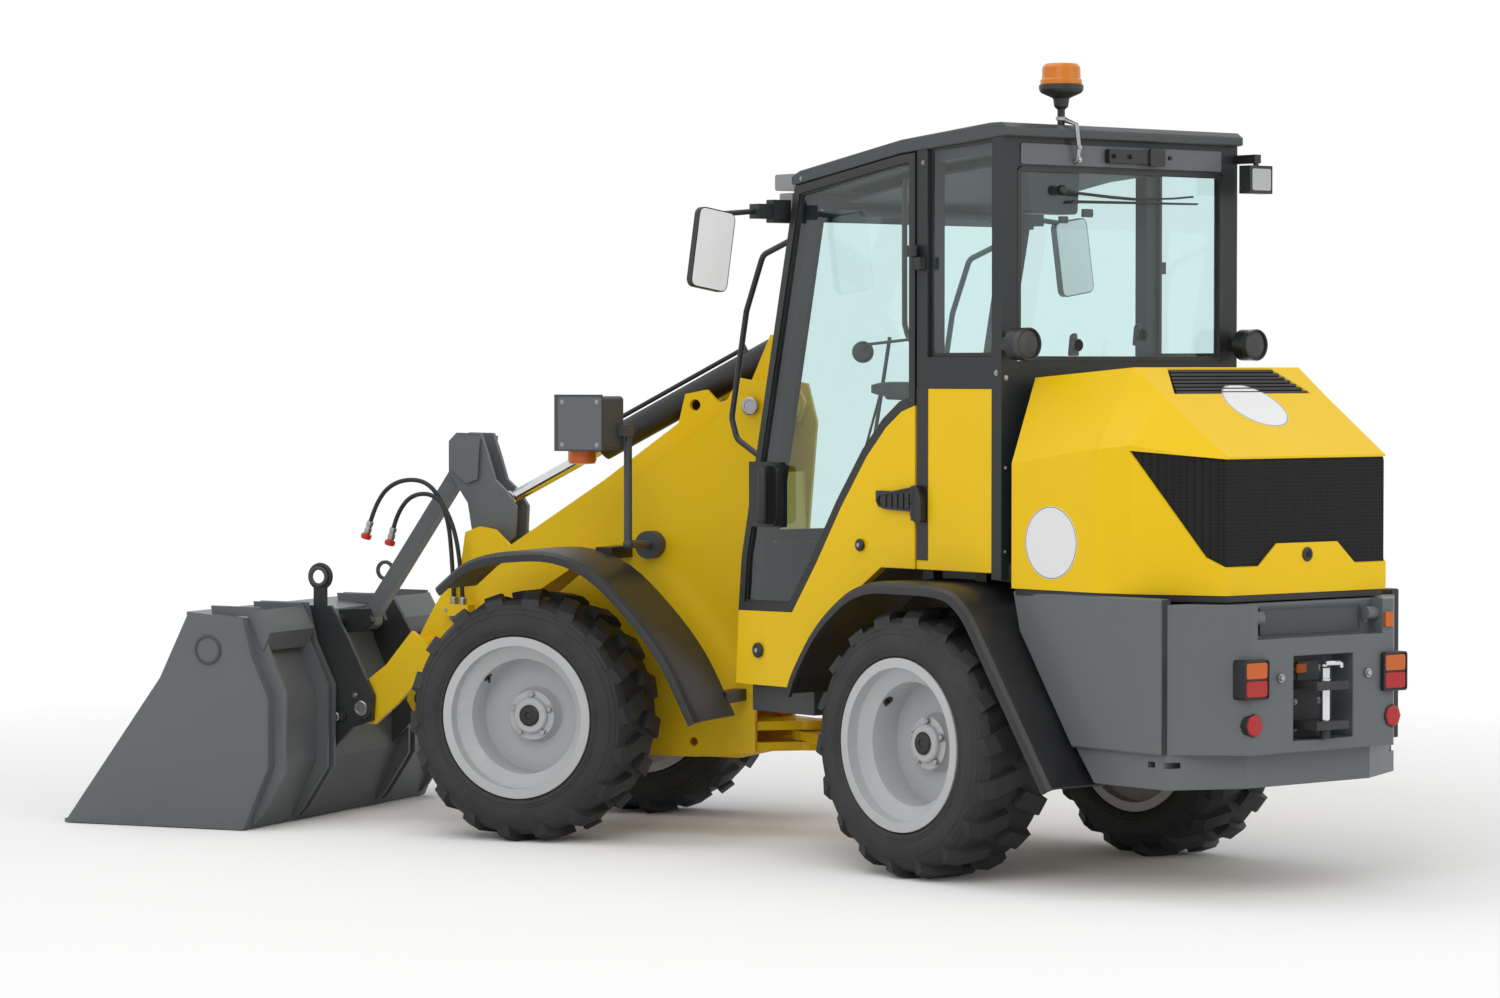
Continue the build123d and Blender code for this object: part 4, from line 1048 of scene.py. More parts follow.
@dataclass
class Wheels:
    """Collars, nuts, caps, valves and sidewall ridges of the four wheels, from each wheel's middle plane."""

    hub_end: float = 40.0
    boss_face: float = 20.3
    boss_radius: float = 84.0
    hub_radius: float = 54.6
    cap_radius: float = 37.0
    nut_circle: float = 71.0
    nuts: int = 5
    nut_size: float = 21.0
    valve_radius: float = 195.0
    valve_out: float = 62.0
    valve_angle: float = 41.0
    side_centre: tuple = (325, 38.8)
    side_radius: float = 117.9
    ridges: tuple = (294, 304, 352, 370)
    bars: int = 54

    def build(self) -> None:
        """Dress each wheel."""
        for wheel in Wheel:
            name, stand, x, side = wheel.value
            centre = Vector((x, side * TRACK, WHEEL_Z))
            out = Y * side
            parts = (
                ("hub_collar_", self.collar, Paints.SILVER, 0.8),
                ("wheel_nuts_", self.nut_ring, Paints.STEEL, 0.5),
                ("hub_cap_", self.cap, Paints.BLACK, 0.8),
                ("valve_", self.valve, Paints.BLACK, 0.0),
                ("sidewall_", self.sidewall, Paints.TYRE, 0.0),
            )
            for prefix, draw, finish, bevel in parts:
                draft = draw(centre, out)
                SHOP.piece(prefix + name, draft, stand, wheel.body, finish, bevel)

    def collar(self, centre: Vector, out: Vector) -> Draft:
        """The pressed plate over the hub that the nuts stand on.

        Args:
            centre: The wheel's middle.
            out: The direction outwards.

        Returns:
            The draft.
        """
        top = self.hub_end + 2
        profile = [
            (self.cap_radius - 2, top), (self.hub_radius, top), (self.hub_radius + 6, top - 5),
            (self.hub_radius + 8, self.boss_face + 4), (self.boss_radius, self.boss_face + 2),
            (self.boss_radius, self.boss_face), (self.hub_radius + 0.4, self.boss_face),
            (self.hub_radius + 0.4, self.hub_end + 0.4), (self.cap_radius - 2, self.hub_end + 0.4),
        ]
        return Draft().turned(profile, centre, out, 56, True)

    def nut_ring(self, centre: Vector, out: Vector) -> Draft:
        """The wheel nuts round the hub.

        Args:
            centre: The wheel's middle.
            out: The direction outwards.

        Returns:
            The draft.
        """
        draft = Draft()
        for index in range(self.nuts):
            angle = math.tau * (index + 0.25) / self.nuts
            seat = centre + Vector((math.cos(angle), 0, math.sin(angle))) * self.nut_circle
            draft.bolt(seat + out * (self.boss_face + 2), out, self.nut_size)
        return draft

    def cap(self, centre: Vector, out: Vector) -> Draft:
        """The black cap in the hub's end, hollowed in its middle.

        Args:
            centre: The wheel's middle.
            out: The direction outwards.

        Returns:
            The draft.
        """
        r, top = self.cap_radius, self.hub_end + 2
        profile = [(r - 3, top - 1), (r, top), (r - 1, top + 5), (r - 7, top + 9), (13, top + 10),
                   (11, top + 6), (1, top + 6)]
        return Draft().turned(profile, centre, out, 40)

    def valve(self, centre: Vector, out: Vector) -> Draft:
        """The valve stem in the rim's well, towards the front.

        Args:
            centre: The wheel's middle.
            out: The direction outwards.

        Returns:
            The draft.
        """
        angle = math.radians(self.valve_angle)
        spoke = Vector((math.cos(angle), 0, math.sin(angle)))
        foot = centre + out * self.valve_out + spoke * self.valve_radius
        draft = Draft().turned([(17, 0), (17, 3), (12, 4), (1, 4)], foot, -spoke, 24)
        tip = foot - spoke * 12 + out * 6
        draft.tube([foot - spoke * 3, tip, tip - spoke * 8 + out * 16], 4.5)
        return draft

    def sidewall(self, centre: Vector, out: Vector) -> Draft:
        """Raised rings and short shoulder bars on the tyre's outer and inner side.

        Args:
            centre: The wheel's middle.
            out: The direction outwards.

        Returns:
            The draft.
        """
        draft = Draft()
        for face in (out, -out):
            for radius in self.ridges:
                level = self.level(radius)
                profile = [(radius - 4, level - 1.5), (radius - 1.2, level + 1.6),
                           (radius + 1.2, level + 1.6), (radius + 4, level - 1.5)]
                draft.turned(profile, centre, face, 96, True)
        inner, outer = self.ridges[2], self.ridges[3]
        for index in range(self.bars):
            angle = math.tau * index / self.bars
            spoke = Vector((math.cos(angle), 0, math.sin(angle)))
            tangent = Vector((-spoke.z, 0, spoke.x)) * 1.6
            rows = []
            for radius, rise in ((inner, 0.8), (outer, 0.8)):
                base = centre + spoke * radius
                low, high = self.level(radius) - 2, self.level(radius) + rise
                rows.append([base + tangent + out * low, base + tangent + out * high,
                             base - tangent + out * high, base - tangent + out * low])
            draft.rings(rows)
        return draft

    def level(self, radius: float) -> float:
        """How far out the sidewall stands at a radius."""
        middle, swell = self.side_centre
        return swell + math.sqrt(self.side_radius ** 2 - (radius - middle) ** 2)


@dataclass
class Tail:
    """What stands on the counterweight: lamps, reflectors, the tow pin, bolts, hooks and the plate panel."""

    tail_x: float = -1200.0
    lamp_y: float = 303.0
    lamp_z: float = 682.0
    lamp_size: tuple = (104, 120)
    reflector_z: float = 545.0
    reflector_radius: float = 36.0
    recess_x: float = -1150.0
    seam_x: float = -1030.0
    hood_low: float = 930.0
    seal_line: tuple = ((-392, 520), (-750, 511), (-870, 482), (-1122, 343))

    def build(self) -> None:
        """Make every piece."""
        SHOP.pieces(Stand.REAR, "rear_frame", (
            ("tail_lamp_cases", self.cases(), Paints.BLACK, 1.2, ("tail_lamps",)),
            ("turn_lenses", self.lenses(1), Paints.AMBER_LENS, 1.0),
            ("brake_lenses", self.lenses(-1), Paints.RED_LENS, 1.0),
            ("red_reflectors", self.reflectors(), Paints.RED_LENS, 0.8),
            ("tow_pin", self.tow_pin(), Paints.CHROME, 0.0),
            ("tail_bolts", self.bolts(), Paints.STEEL, 0.3),
            ("plate_panel", self.panel(), Paints.CHARCOAL, 1.0),
            ("plate_lamps", self.plate_lamps(), Paints.AMBER_LENS, 1.5),
            ("hood_seal", self.seal(), Paints.BLACK, 1.5),
            ("cover_seams", self.seams(), Paints.BLACK, 0.0),
        ))

    def cases(self) -> Draft:
        """Rounded lamp cases with a raised rim, and the reflectors' backs.

        Returns:
            The draft.
        """
        width, height = self.lamp_size
        draft = Draft()
        for side in SIDES:
            outline = oblong((side * self.lamp_y, self.lamp_z), width, height, 12)
            draft.prism(outline, self.tail_x - 12, self.tail_x + 34, Seen.END)
            draft.border(outline, 5, self.tail_x - 17.5, self.tail_x - 12, Seen.END)
            bar = ((side * self.lamp_y - 45, side * self.lamp_y + 45), (self.lamp_z - 2, self.lamp_z + 2))
            draft.box((self.tail_x - 16.5, self.tail_x - 12), *bar)
            centre = (self.tail_x, side * self.lamp_y, self.reflector_z)
            r = self.reflector_radius
            draft.turned([(1, -20), (r, -20), (r, 5), (1, 5)], centre, -X, 8)
        return draft

    def lenses(self, half: int) -> Draft:
        """Each lamp's upper (1) or lower (-1) lens.

        Args:
            half: 1 for the upper lens and -1 for the lower.

        Returns:
            The draft.
        """
        draft = Draft()
        for side in SIDES:
            centre = (side * self.lamp_y, self.lamp_z + half * 27)
            draft.prism(oblong(centre, 88, 48, 8), self.tail_x - 16, self.tail_x - 11, Seen.END)
        return draft

    def reflectors(self) -> Draft:
        """The two red reflectors, with a bevelled edge.

        Returns:
            The draft.
        """
        draft = Draft()
        r = self.reflector_radius - 3
        for side in SIDES:
            centre = (self.tail_x, side * self.lamp_y, self.reflector_z)
            draft.turned([(1, 4), (r, 4), (r, 7), (r - 5, 9.6), (1, 9.6)], centre, -X, 8)
        return draft

    def tow_pin(self) -> Draft:
        """The drawn tow pin with its bent handle.

        Returns:
            The draft.
        """
        x = self.tail_x - 5
        draft = Draft().turned([(15.6, 0), (15.6, 93)], (x, 0, 546), Z, 32)
        draft.turned([(15.6, 0), (15.6, 38), (11, 44), (1, 44)], (x, 0, 666), Z, 32)
        draft.tube([(x, 6, 700), (x, 4, 712), (x, -4, 717), (x, -60, 717), (x, -68, 714), (x, -70, 704)], 8.8)
        draft.turned([(19, 0), (19, 6), (15.7, 8)], (x, 0, 666), Z, 24)
        return draft

    def bolts(self) -> Draft:
        """Bolt heads on the tail and in its two recesses, and the hook pins of the ledge.

        Returns:
            The draft.
        """
        draft = Draft()
        for side in SIDES:
            draft.bolt((self.tail_x - 6, side * 190, 682), -X, 19)
            for z in (520, 600, 700):
                draft.bolt((self.tail_x + 70, side * 52, z), -X, 13)
            draft.bolt((self.tail_x + 50, side * 246 + 12, 838), -X, 15)
            for x in (-1000, -820):
                draft.bolt((x, side * 420, 455), Z, 14)
        return draft

    def panel(self) -> Draft:
        """The dark plate panel with a raised edge, at the back of the upper recess.

        Returns:
            The draft.
        """
        draft = Draft()
        outline = oblong((12, 851), 440, 84, 8)
        draft.prism(outline, self.recess_x - 5, self.recess_x, Seen.END)
        draft.border(outline, 6, self.recess_x - 8, self.recess_x - 5, Seen.END)
        draft.prism(oblong((0, 690), 92, 66, 6), self.tail_x + 64, self.tail_x + 70, Seen.END)
        return draft

    def plate_lamps(self) -> Draft:
        """The small amber lamps beside the tow pin and right of the plate.

        Returns:
            The draft.
        """
        draft = Draft()
        draft.prism(oblong((36, 702), 44, 28, 5), self.tail_x + 56, self.tail_x + 65, Seen.END)
        draft.prism(oblong((-283, 842), 34, 46, 5), self.tail_x - 9, self.tail_x, Seen.END)
        return draft

    def seal(self) -> Draft:
        """The black rubber strip on which the hood's edge lies."""
        whole = list(self.seal_line) + [(x, -y) for x, y in reversed(self.seal_line)]
        return Draft().border(whole, 24, self.hood_low - 21, self.hood_low + 10, Seen.PLAN)

    def seams(self) -> Draft:
        """The dark joints between the side covers and the counterweight."""
        draft = Draft().box((self.seam_x - 3, self.seam_x + 1), (484, 516), (457, 920))
        return draft.mirrored()


@dataclass
class Hood:
    """Signs, lock and vent slats of the hood."""

    side_sign: tuple = (-558, 1076)
    side_half: tuple = (530, 520)
    side_span: tuple = (-385, -750)
    slope_top: tuple = (-870, 1526)
    slope_low: tuple = (-1130, 1345)
    sign_radius: float = 112.0
    sign_thickness: float = 1.2
    tail_x: float = -1130.0
    lock_place: tuple = (-1130, 0, 1046)
    slats: int = 7
    vent_top: tuple = (-756, 1608)
    vent_low: tuple = (-862, 1532)

    def build(self) -> None:
        """Make every piece."""
        SHOP.pieces(Stand.REAR, "hood", (
            ("hood_signs", self.signs(), Paints.WHITE, 0.0),
            ("sign_rims", self.sign_rims(), Paints.CHARCOAL, 0.0),
            ("hood_lock", self.lock(), Paints.BLACK, 0.8),
            ("vent_slats", self.vent(), Paints.BLACK, 0.8),
        ))

    def places(self) -> list[tuple[Vector, Vector]]:
        """Centre and outward direction of each sign: two sides and the slope.

        Returns:
            The pairs.
        """
        x, z = self.side_sign
        (x0, x1), (y0, y1) = self.side_span, self.side_half
        y = y0 + (y1 - y0) * (x - x0) / (x1 - x0)
        lean = (y0 - y1) / (x0 - x1)
        out = Vector((-lean, 1, 0)).normalized()
        found = [(Vector((x, y, z)), out), (Vector((x, -y, z)), Vector((out.x, -out.y, 0)))]
        run = Vector((self.slope_top[0] - self.slope_low[0], 0, self.slope_top[1] - self.slope_low[1]))
        up = Vector((-run.z, 0, run.x)).normalized()
        middle = Vector((self.slope_top[0], 0, self.slope_top[1])) - run * 0.17
        found.append((middle + Y * 5, up))
        return found

    def signs(self) -> Draft:
        """Plain round plates on the skin.

        Returns:
            The draft.
        """
        draft = Draft()
        radius, high = self.sign_radius, self.sign_thickness
        for centre, out in self.places():
            draft.turned([(1, 0.0), (radius, 0.0), (radius, high), (1, high)], centre, out, 64)
        return draft

    def sign_rims(self) -> Draft:
        """A thin dark line round each sign.

        Returns:
            The draft.
        """
        draft = Draft()
        for centre, out in self.places():
            radius, low = self.sign_radius, self.sign_thickness
            profile = [(radius - 4, low), (radius - 4, 1.5), (radius - 2, 1.5), (radius - 2, low)]
            draft.turned(profile, centre, out, 64, True)
        return draft

    def lock(self) -> Draft:
        """The round lock in the middle of the painted bump, with its key slot."""
        draft = Draft().turned([(22, 0), (22, 3), (17, 6), (12, 6), (11, 3), (1, 3)], self.lock_place, -X, 36)
        return draft.box((self.tail_x - 7, self.tail_x - 3), (-2, 2), (1039, 1053))

    def vent(self) -> Draft:
        """Slats across the vent, on the slope between two hood sections.

        Returns:
            The draft.
        """
        draft = Draft()
        (x0, z0), (x1, z1) = self.vent_top, self.vent_low
        for index in range(self.slats):
            t = (index + 0.5) / self.slats
            x, z = x0 + (x1 - x0) * t, z0 + (z1 - z0) * t
            half = 222 + 70 * t
            draft.prism([(x - 6, z - 6), (x + 3, z - 8), (x + 5, z - 2), (x - 2, z + 2)], -half, half)
        return draft


@dataclass
class Glazing:
    """Seals and dark borders round the cab's windows."""

    cab_rear: float = -325.0
    rear_half: float = 452.0
    rear_z: tuple = (1632, 2236)
    knee: tuple = (925, 985)
    roof_front: tuple = (655, 2210)
    screen_half: float = 440.0
    screen_z: tuple = (1030, 2130)
    side_y: float = 497.0
    quarter: tuple = ((-280, 1645), (20, 1645), (20, 2306), (-280, 2324))
    door_line: tuple = (
        (960, 805), (683, 809), (560, 975), (436, 1160), (310, 1325), (215, 1420),
        (140, 1472), (75, 1492), (75, 2291), (150, 2285), (668, 2203), (943, 985),
    )

    def build(self) -> None:
        """Make every seal."""
        SHOP.piece("window_seals", self.seals(), Stand.REAR, "rear_frame", Paints.BLACK, 0.8)
        for side, name in zip(SIDES, ("door_left", "door_right")):
            SHOP.piece(name + "_seal", self.door_seal(side), Stand.REAR, name, Paints.BLACK, 0.6)

    def seals(self) -> Draft:
        """Rubber round the rear and quarter windows, and the windscreen's black border.

        Returns:
            The draft.
        """
        draft = Draft()
        low, high = self.rear_z
        half = self.rear_half
        outline = rounded([(-half, low), (half, low), (half, high), (-half, high)], 26)
        draft.border(outline, 15, self.cab_rear - 1.5, self.cab_rear + 9, Seen.END)
        for side in SIDES:
            draft.border(list(self.quarter), 13, *span(side, self.side_y - 2, self.side_y + 9))
        slope = (self.knee[0] - self.roof_front[0]) / (self.roof_front[1] - self.knee[1])
        low, high = self.screen_z
        half = self.screen_half
        outline = rounded([(-half, low), (half, low), (half, high), (-half, high)], 40)
        inner = inset(outline, 42)
        rings = []
        for loop, level in ((outline, -14.8), (outline, -12), (inner, -12), (inner, -14.8)):
            front = self.knee[0] + level
            rings.append([Vector((front - slope * (z - self.knee[1]), y, z)) for y, z in loop])
        return draft.rings(rings, True)

    def door_seal(self, side: int) -> Draft:
        """The rubber lip inside a door's window frame."""
        outline = inset(list(self.door_line), 26)
        return Draft().border(outline, 9, *span(side, self.side_y, self.side_y + 20))


@dataclass
class CabTrim:
    """What is fixed on the cab: wiper, lamps, bracket, header bar, hinge ribs, roof ribs and steps."""

    rear: float = -325.0
    wiper_pivot: tuple = (272, 2166)
    wiper_tip: tuple = (-332, 2157)
    cover_half: float = 518.0
    door_face: float = 523.0

    def build(self) -> None:
        """Make every piece."""
        SHOP.pieces(Stand.REAR, "rear_frame", (
            ("wiper_motor", self.motor(), Paints.BLACK, 5.0),
            ("wiper_arm", self.wiper(), Paints.BLACK, 0.4),
            ("header_plate", self.header_plate(), Paints.GREY, 1.5),
            ("roof_lamps", self.roof_lamps(), Paints.PALE, 4.0),
            ("header_bar", self.header(), Paints.BLACK, 1.5),
            ("beacon_bracket", self.bracket(), Paints.STEEL, 0.0),
            ("work_lenses", self.round_lenses(), Paints.SMOKED_LENS, 0.6),
            ("corner_lenses", self.square_lenses(), Paints.CLEAR_LENS, 0.6),
            ("cab_bolts", self.bolts(), Paints.STEEL, 0.0),
            ("roof_ribs", self.roof_ribs(), Paints.ANTHRACITE, 2.0),
            ("door_strips", self.strips(), Paints.BLACK, 0.8),
            ("tank_treads", self.treads(), Paints.BLACK, 1.0),
            ("front_wiper", self.front_wiper(), Paints.BLACK, 0.4),
            # The mirror faces carry a painted reflection, not a mirror finish.
            ("mirror_faces", self.mirror_faces(), Paints.MIRROR_PAINTED_REFLECTION, 0.5),
            ("window_latches", self.latches(), Paints.BLACK, 1.0),
        ))
        SHOP.piece("door_left_grab_bar", self.grab_bar(1), Stand.REAR, "door_left", Paints.BLACK)
        for side, name in zip(SIDES, ("door_left", "door_right")):
            SHOP.pieces(Stand.REAR, name, (
                (name + "_fittings", self.fittings(side), Paints.BLACK, 1.2),
                (name + "_keys", self.keys(side), Paints.STEEL, 0.4),
            ))

    def motor(self) -> Draft:
        """The wiper's motor housing, inside the rear window.

        Returns:
            The draft.
        """
        outline = rounded([(176, 2092), (374, 2092), (396, 2232), (166, 2232)], 14)
        draft = Draft().prism(outline, self.rear + 20, self.rear + 88, Seen.END)
        draft.prism(oblong((232, 2075), 30, 22, 4), self.rear + 18, self.rear + 34, Seen.END)
        return draft.prism(oblong((130, 2098), 42, 26, 4), self.rear + 18, self.rear + 30, Seen.END)

    def wiper(self) -> Draft:
        """The wiper's boss, its bent arm and the blade on the rear window.

        Returns:
            The draft.
        """
        (py, pz), (ty, tz) = self.wiper_pivot, self.wiper_tip
        draft = Draft().turned([(16, 0), (16, 16), (11, 22), (1, 22)], (self.rear - 2, py, pz), -X, 28)
        x = self.rear - 18
        middle = (x - 6, (py + ty) / 2, pz - 22)
        draft.tube([(x, py, pz), (x - 6, py - 60, pz - 9), (x - 8, py - 200, pz - 18), middle], 5)
        draft.tube([middle, (x + 2, ty + 120, tz - 6), (x + 4, ty + 30, tz + 2)], 3.2)
        blade = [(py - 40, pz - 40), (ty + 10, tz - 24), (ty, tz - 18), (py - 50, pz - 30)]
        return draft.prism(blade, self.rear - 12, self.rear - 4, Seen.END)

    def header(self) -> Draft:
        """The dark bar and socket on the roof's rear edge.

        Returns:
            The draft.
        """
        edge = self.rear - 27
        draft = Draft().prism(oblong((-40, 2278), 244, 44, 8), edge, self.rear, Seen.END)
        draft.prism(oblong((-124, 2278), 66, 56, 8), edge - 8, edge + 4, Seen.END)
        for y in (60, -10, -180):
            draft.turned([(7, 0), (7, 11), (1, 12)], (edge, y, 2278), -X, 16)
        return draft

    def latches(self) -> Draft:
        """The rear window's latches, a boss and a bent lever each, inside the glass.

        Returns:
            The draft.
        """
        draft = Draft()
        for y, z in ((179, 1682), (-104, 1715)):
            draft.turned([(20, 10), (20, 30), (14, 36), (1, 36)], (self.rear, y, z), X, 28)
            outline = rounded([(y - 16, z - 34), (y + 20, z - 34), (y + 12, z + 30), (y - 6, z + 40)], 8)
            draft.prism(outline, self.rear + 24, self.rear + 40, Seen.END)
        return draft

    def header_plate(self) -> Draft:
        """The paler pressed plate over the rear window."""
        return Draft().prism(oblong((0, 2276), 880, 66, 8), self.rear - 5, self.rear, Seen.END)

    def roof_lamps(self) -> Draft:
        """The pale lamp housings under the roof's front corners.

        Returns:
            The draft.
        """
        draft = Draft()
        for side in SIDES:
            draft.prism(oblong((745, 2220), 108, 54, 10), *span(side, 400, 500))
            draft.prism(oblong((735, 2138), 66, 92, 8), *span(side, 424, 506))
        return draft

    def grab_bar(self, side: int) -> Draft:
        """The bent bar inside a door's rear edge."""
        line = [(166, 2215), (175, 2190), (175, 1950), (174, 1750), (160, 1715), (118, 1672)]
        return Draft().tube([(x, side * 478, z) for x, z in line], 9)

    def bracket(self) -> Draft:
        """The bent rod that holds the beacon's stalk, with its clamp.

        Returns:
            The draft.
        """
        line = [(self.rear + 2, 214, 2250), (self.rear - 20, 214, 2262), (self.rear - 27, 216, 2300),
                (self.rear - 24, 224, 2372), (self.rear + 4, 238, 2384), (-300, 243, 2392)]
        draft = Draft().tube(line, 8)
        draft.turned([(17, 0), (17, 10), (13, 12)], (-300, 243, 2386), Z, 24)
        for z in (2262, 2300):
            draft.bolt((self.rear - 30, 216, z), -X, 13)
        return draft

    def round_lenses(self) -> Draft:
        """The dark glass of the round work lights, with a hood ring.

        Returns:
            The draft.
        """
        draft = Draft()
        for side in SIDES:
            centre = (self.rear - 100, side * 500, 1684)
            draft.turned([(1, 0), (41, 0), (41, 2), (30, 4), (1, 5)], centre, -X, 32)
            draft.turned([(45, -14), (51, -14), (51, 8), (47, 8), (45, 2)], centre, -X, 32, True)
        return draft

    def square_lenses(self) -> Draft:
        """The glass of the corner lamp and the front work lights.

        Returns:
            The draft.
        """
        draft = Draft()
        for side in SIDES:
            draft.prism(oblong((side * 300, 2192), 96, 72, 8), 745, 748, Seen.END)
        return draft.prism(oblong((-515, 2217), 84, 70, 8), self.rear - 113, self.rear - 110, Seen.END)

    def bolts(self) -> Draft:
        """Bolts on the rear posts, the belt and the roof's corners.

        Returns:
            The draft.
        """
        draft = Draft()
        for side in SIDES:
            for z in (1040, 1300, 1580):
                draft.bolt((self.rear, side * 500, z), -X, 12)
            draft.bolt((self.rear + 22, side * self.cover_half, 1595), Y * side, 13)
            for x in (40, 640):
                draft.bolt((x, side * self.cover_half, 2258 if x < 100 else 2228), Y * side, 10)
        return draft

    def roof_ribs(self) -> Draft:
        """Pressed ribs along the roof and its hatch's edge.

        Returns:
            The draft.
        """
        draft = Draft()
        for y in (-360, -220, 220, 360):
            draft.prism([(-240, 2364), (110, 2336), (110, 2342), (-240, 2373)], y - 14, y + 14)
        return draft

    def strips(self) -> Draft:
        """The black strip behind each door's edge, and the hinge's knuckle on it.

        Returns:
            The draft.
        """
        low, high = self.cover_half, self.cover_half + 2.6
        draft = Draft().box((16, 69), (low, high), (1002, 1546))
        knuckle = rounded([(22, 1122), (60, 1122), (60, 1238), (40, 1238), (22, 1200)], 12)
        draft.prism(knuckle, low, high + 24)
        for z in (1140, 1222):
            draft.turned([(15, 0), (15, 26), (11, 29), (1, 29)], (60, self.door_face + 10, z - 13), Z, 24)
        return draft.mirrored()

    def treads(self) -> Draft:
        """Grip strips on the side tanks' steps.

        Returns:
            The draft.
        """
        draft = Draft()
        for z in (590, 560):
            draft.prism([(640, z), (930, z), (930, z + 6), (640, z + 6)], 478, 488)
        for x in range(650, 930, 28):
            draft.box((x, x + 12), (300, 476), (599, 603))
        return draft.mirrored()

    def front_wiper(self) -> Draft:
        """The windscreen's wiper, parked upright in the middle.

        Returns:
            The draft.
        """
        draft = Draft().turned([(14, 0), (14, 14), (1, 18)], (918, 60, 1008), Vector((1, 0, 0.22)), 24)
        draft.tube([(934, 60, 1012), (930, 66, 1100), (872, 40, 1340), (832, 10, 1520)], 4.5)
        blade = [(908, 1180), (919, 1182), (797, 1715), (786, 1713)]
        return draft.prism(blade, -2, 6)

    def mirror_faces(self) -> Draft:
        """The two outer mirrors' glass and the round one inside.

        Returns:
            The draft.
        """
        draft = Draft()
        turned = Matrix.Rotation(math.radians(9), 2)
        for side in SIDES:
            outline = []
            for a, b in oblong((0, 0), 144, 254, 22):
                point = turned @ Vector((a, b))
                outline.append((side * (806 + point.x), 1994 + point.y))
            draft.prism(outline, 738.6, 740, Seen.END)
        centre = Vector(ROUND_MIRROR) + MIRROR_FACE * 9
        return draft.turned([(1, 0), (31, 0), (31, 1.4), (1, 1.6)], centre, MIRROR_FACE, 40)

    def fittings(self, side: int) -> Draft:
        """A door's hinge ribs and the caps of its round locks.

        Args:
            side: 1 for the left and -1 for the right.

        Returns:
            The draft.
        """
        face = side * self.door_face
        draft = Draft()
        paddle = [(66, 1154), (200, 1160), (232, 1168), (240, 1180), (240, 1196), (230, 1208), (66, 1234)]
        draft.prism(paddle, *sorted((face + side * 2, face + side * 13)))
        draft.border(paddle, 7, *sorted((face + side * 12, face + side * 18)))
        for index in range(5):
            x = 84 + index * 28
            draft.box((x, x + 11), sorted((face + side * 12, face + side * 17)), (1164, 1214 - index * 2))
        draft.prism(oblong((780, 1192), 78, 206, 34), *sorted((face + side * 2, face + side * 16)))
        grip = [(14, -92), (18, -80), (18, 80), (14, 92), (1, 94)]
        draft.turned([(1, -94)] + grip, (776, face + side * 46, 1192), Z, 24)
        for z in (1112, 1272):
            draft.turned([(13, 10), (13, 46)], (776, face, z), Y * side, 20)
        for x, z, radius in ((333, 1041, 20), (850, 676, 25)):
            centre = (x, face + side * 4, z)
            draft.turned([(1, 0), (radius, 0), (radius, 6), (radius - 5, 10), (1, 10)], centre, Y * side, 36)
        return draft

    def keys(self, side: int) -> Draft:
        """The key barrels of a door's round locks.

        Args:
            side: 1 for the left and -1 for the right.

        Returns:
            The draft.
        """
        face = side * self.door_face
        draft = Draft()
        for x, z, radius in ((333, 1041, 8), (850, 676, 9)):
            centre = (x, face + side * 11, z)
            draft.turned([(1, 0), (radius, 0), (radius - 1, 5), (1, 5)], centre, Y * side, 24)
        return draft


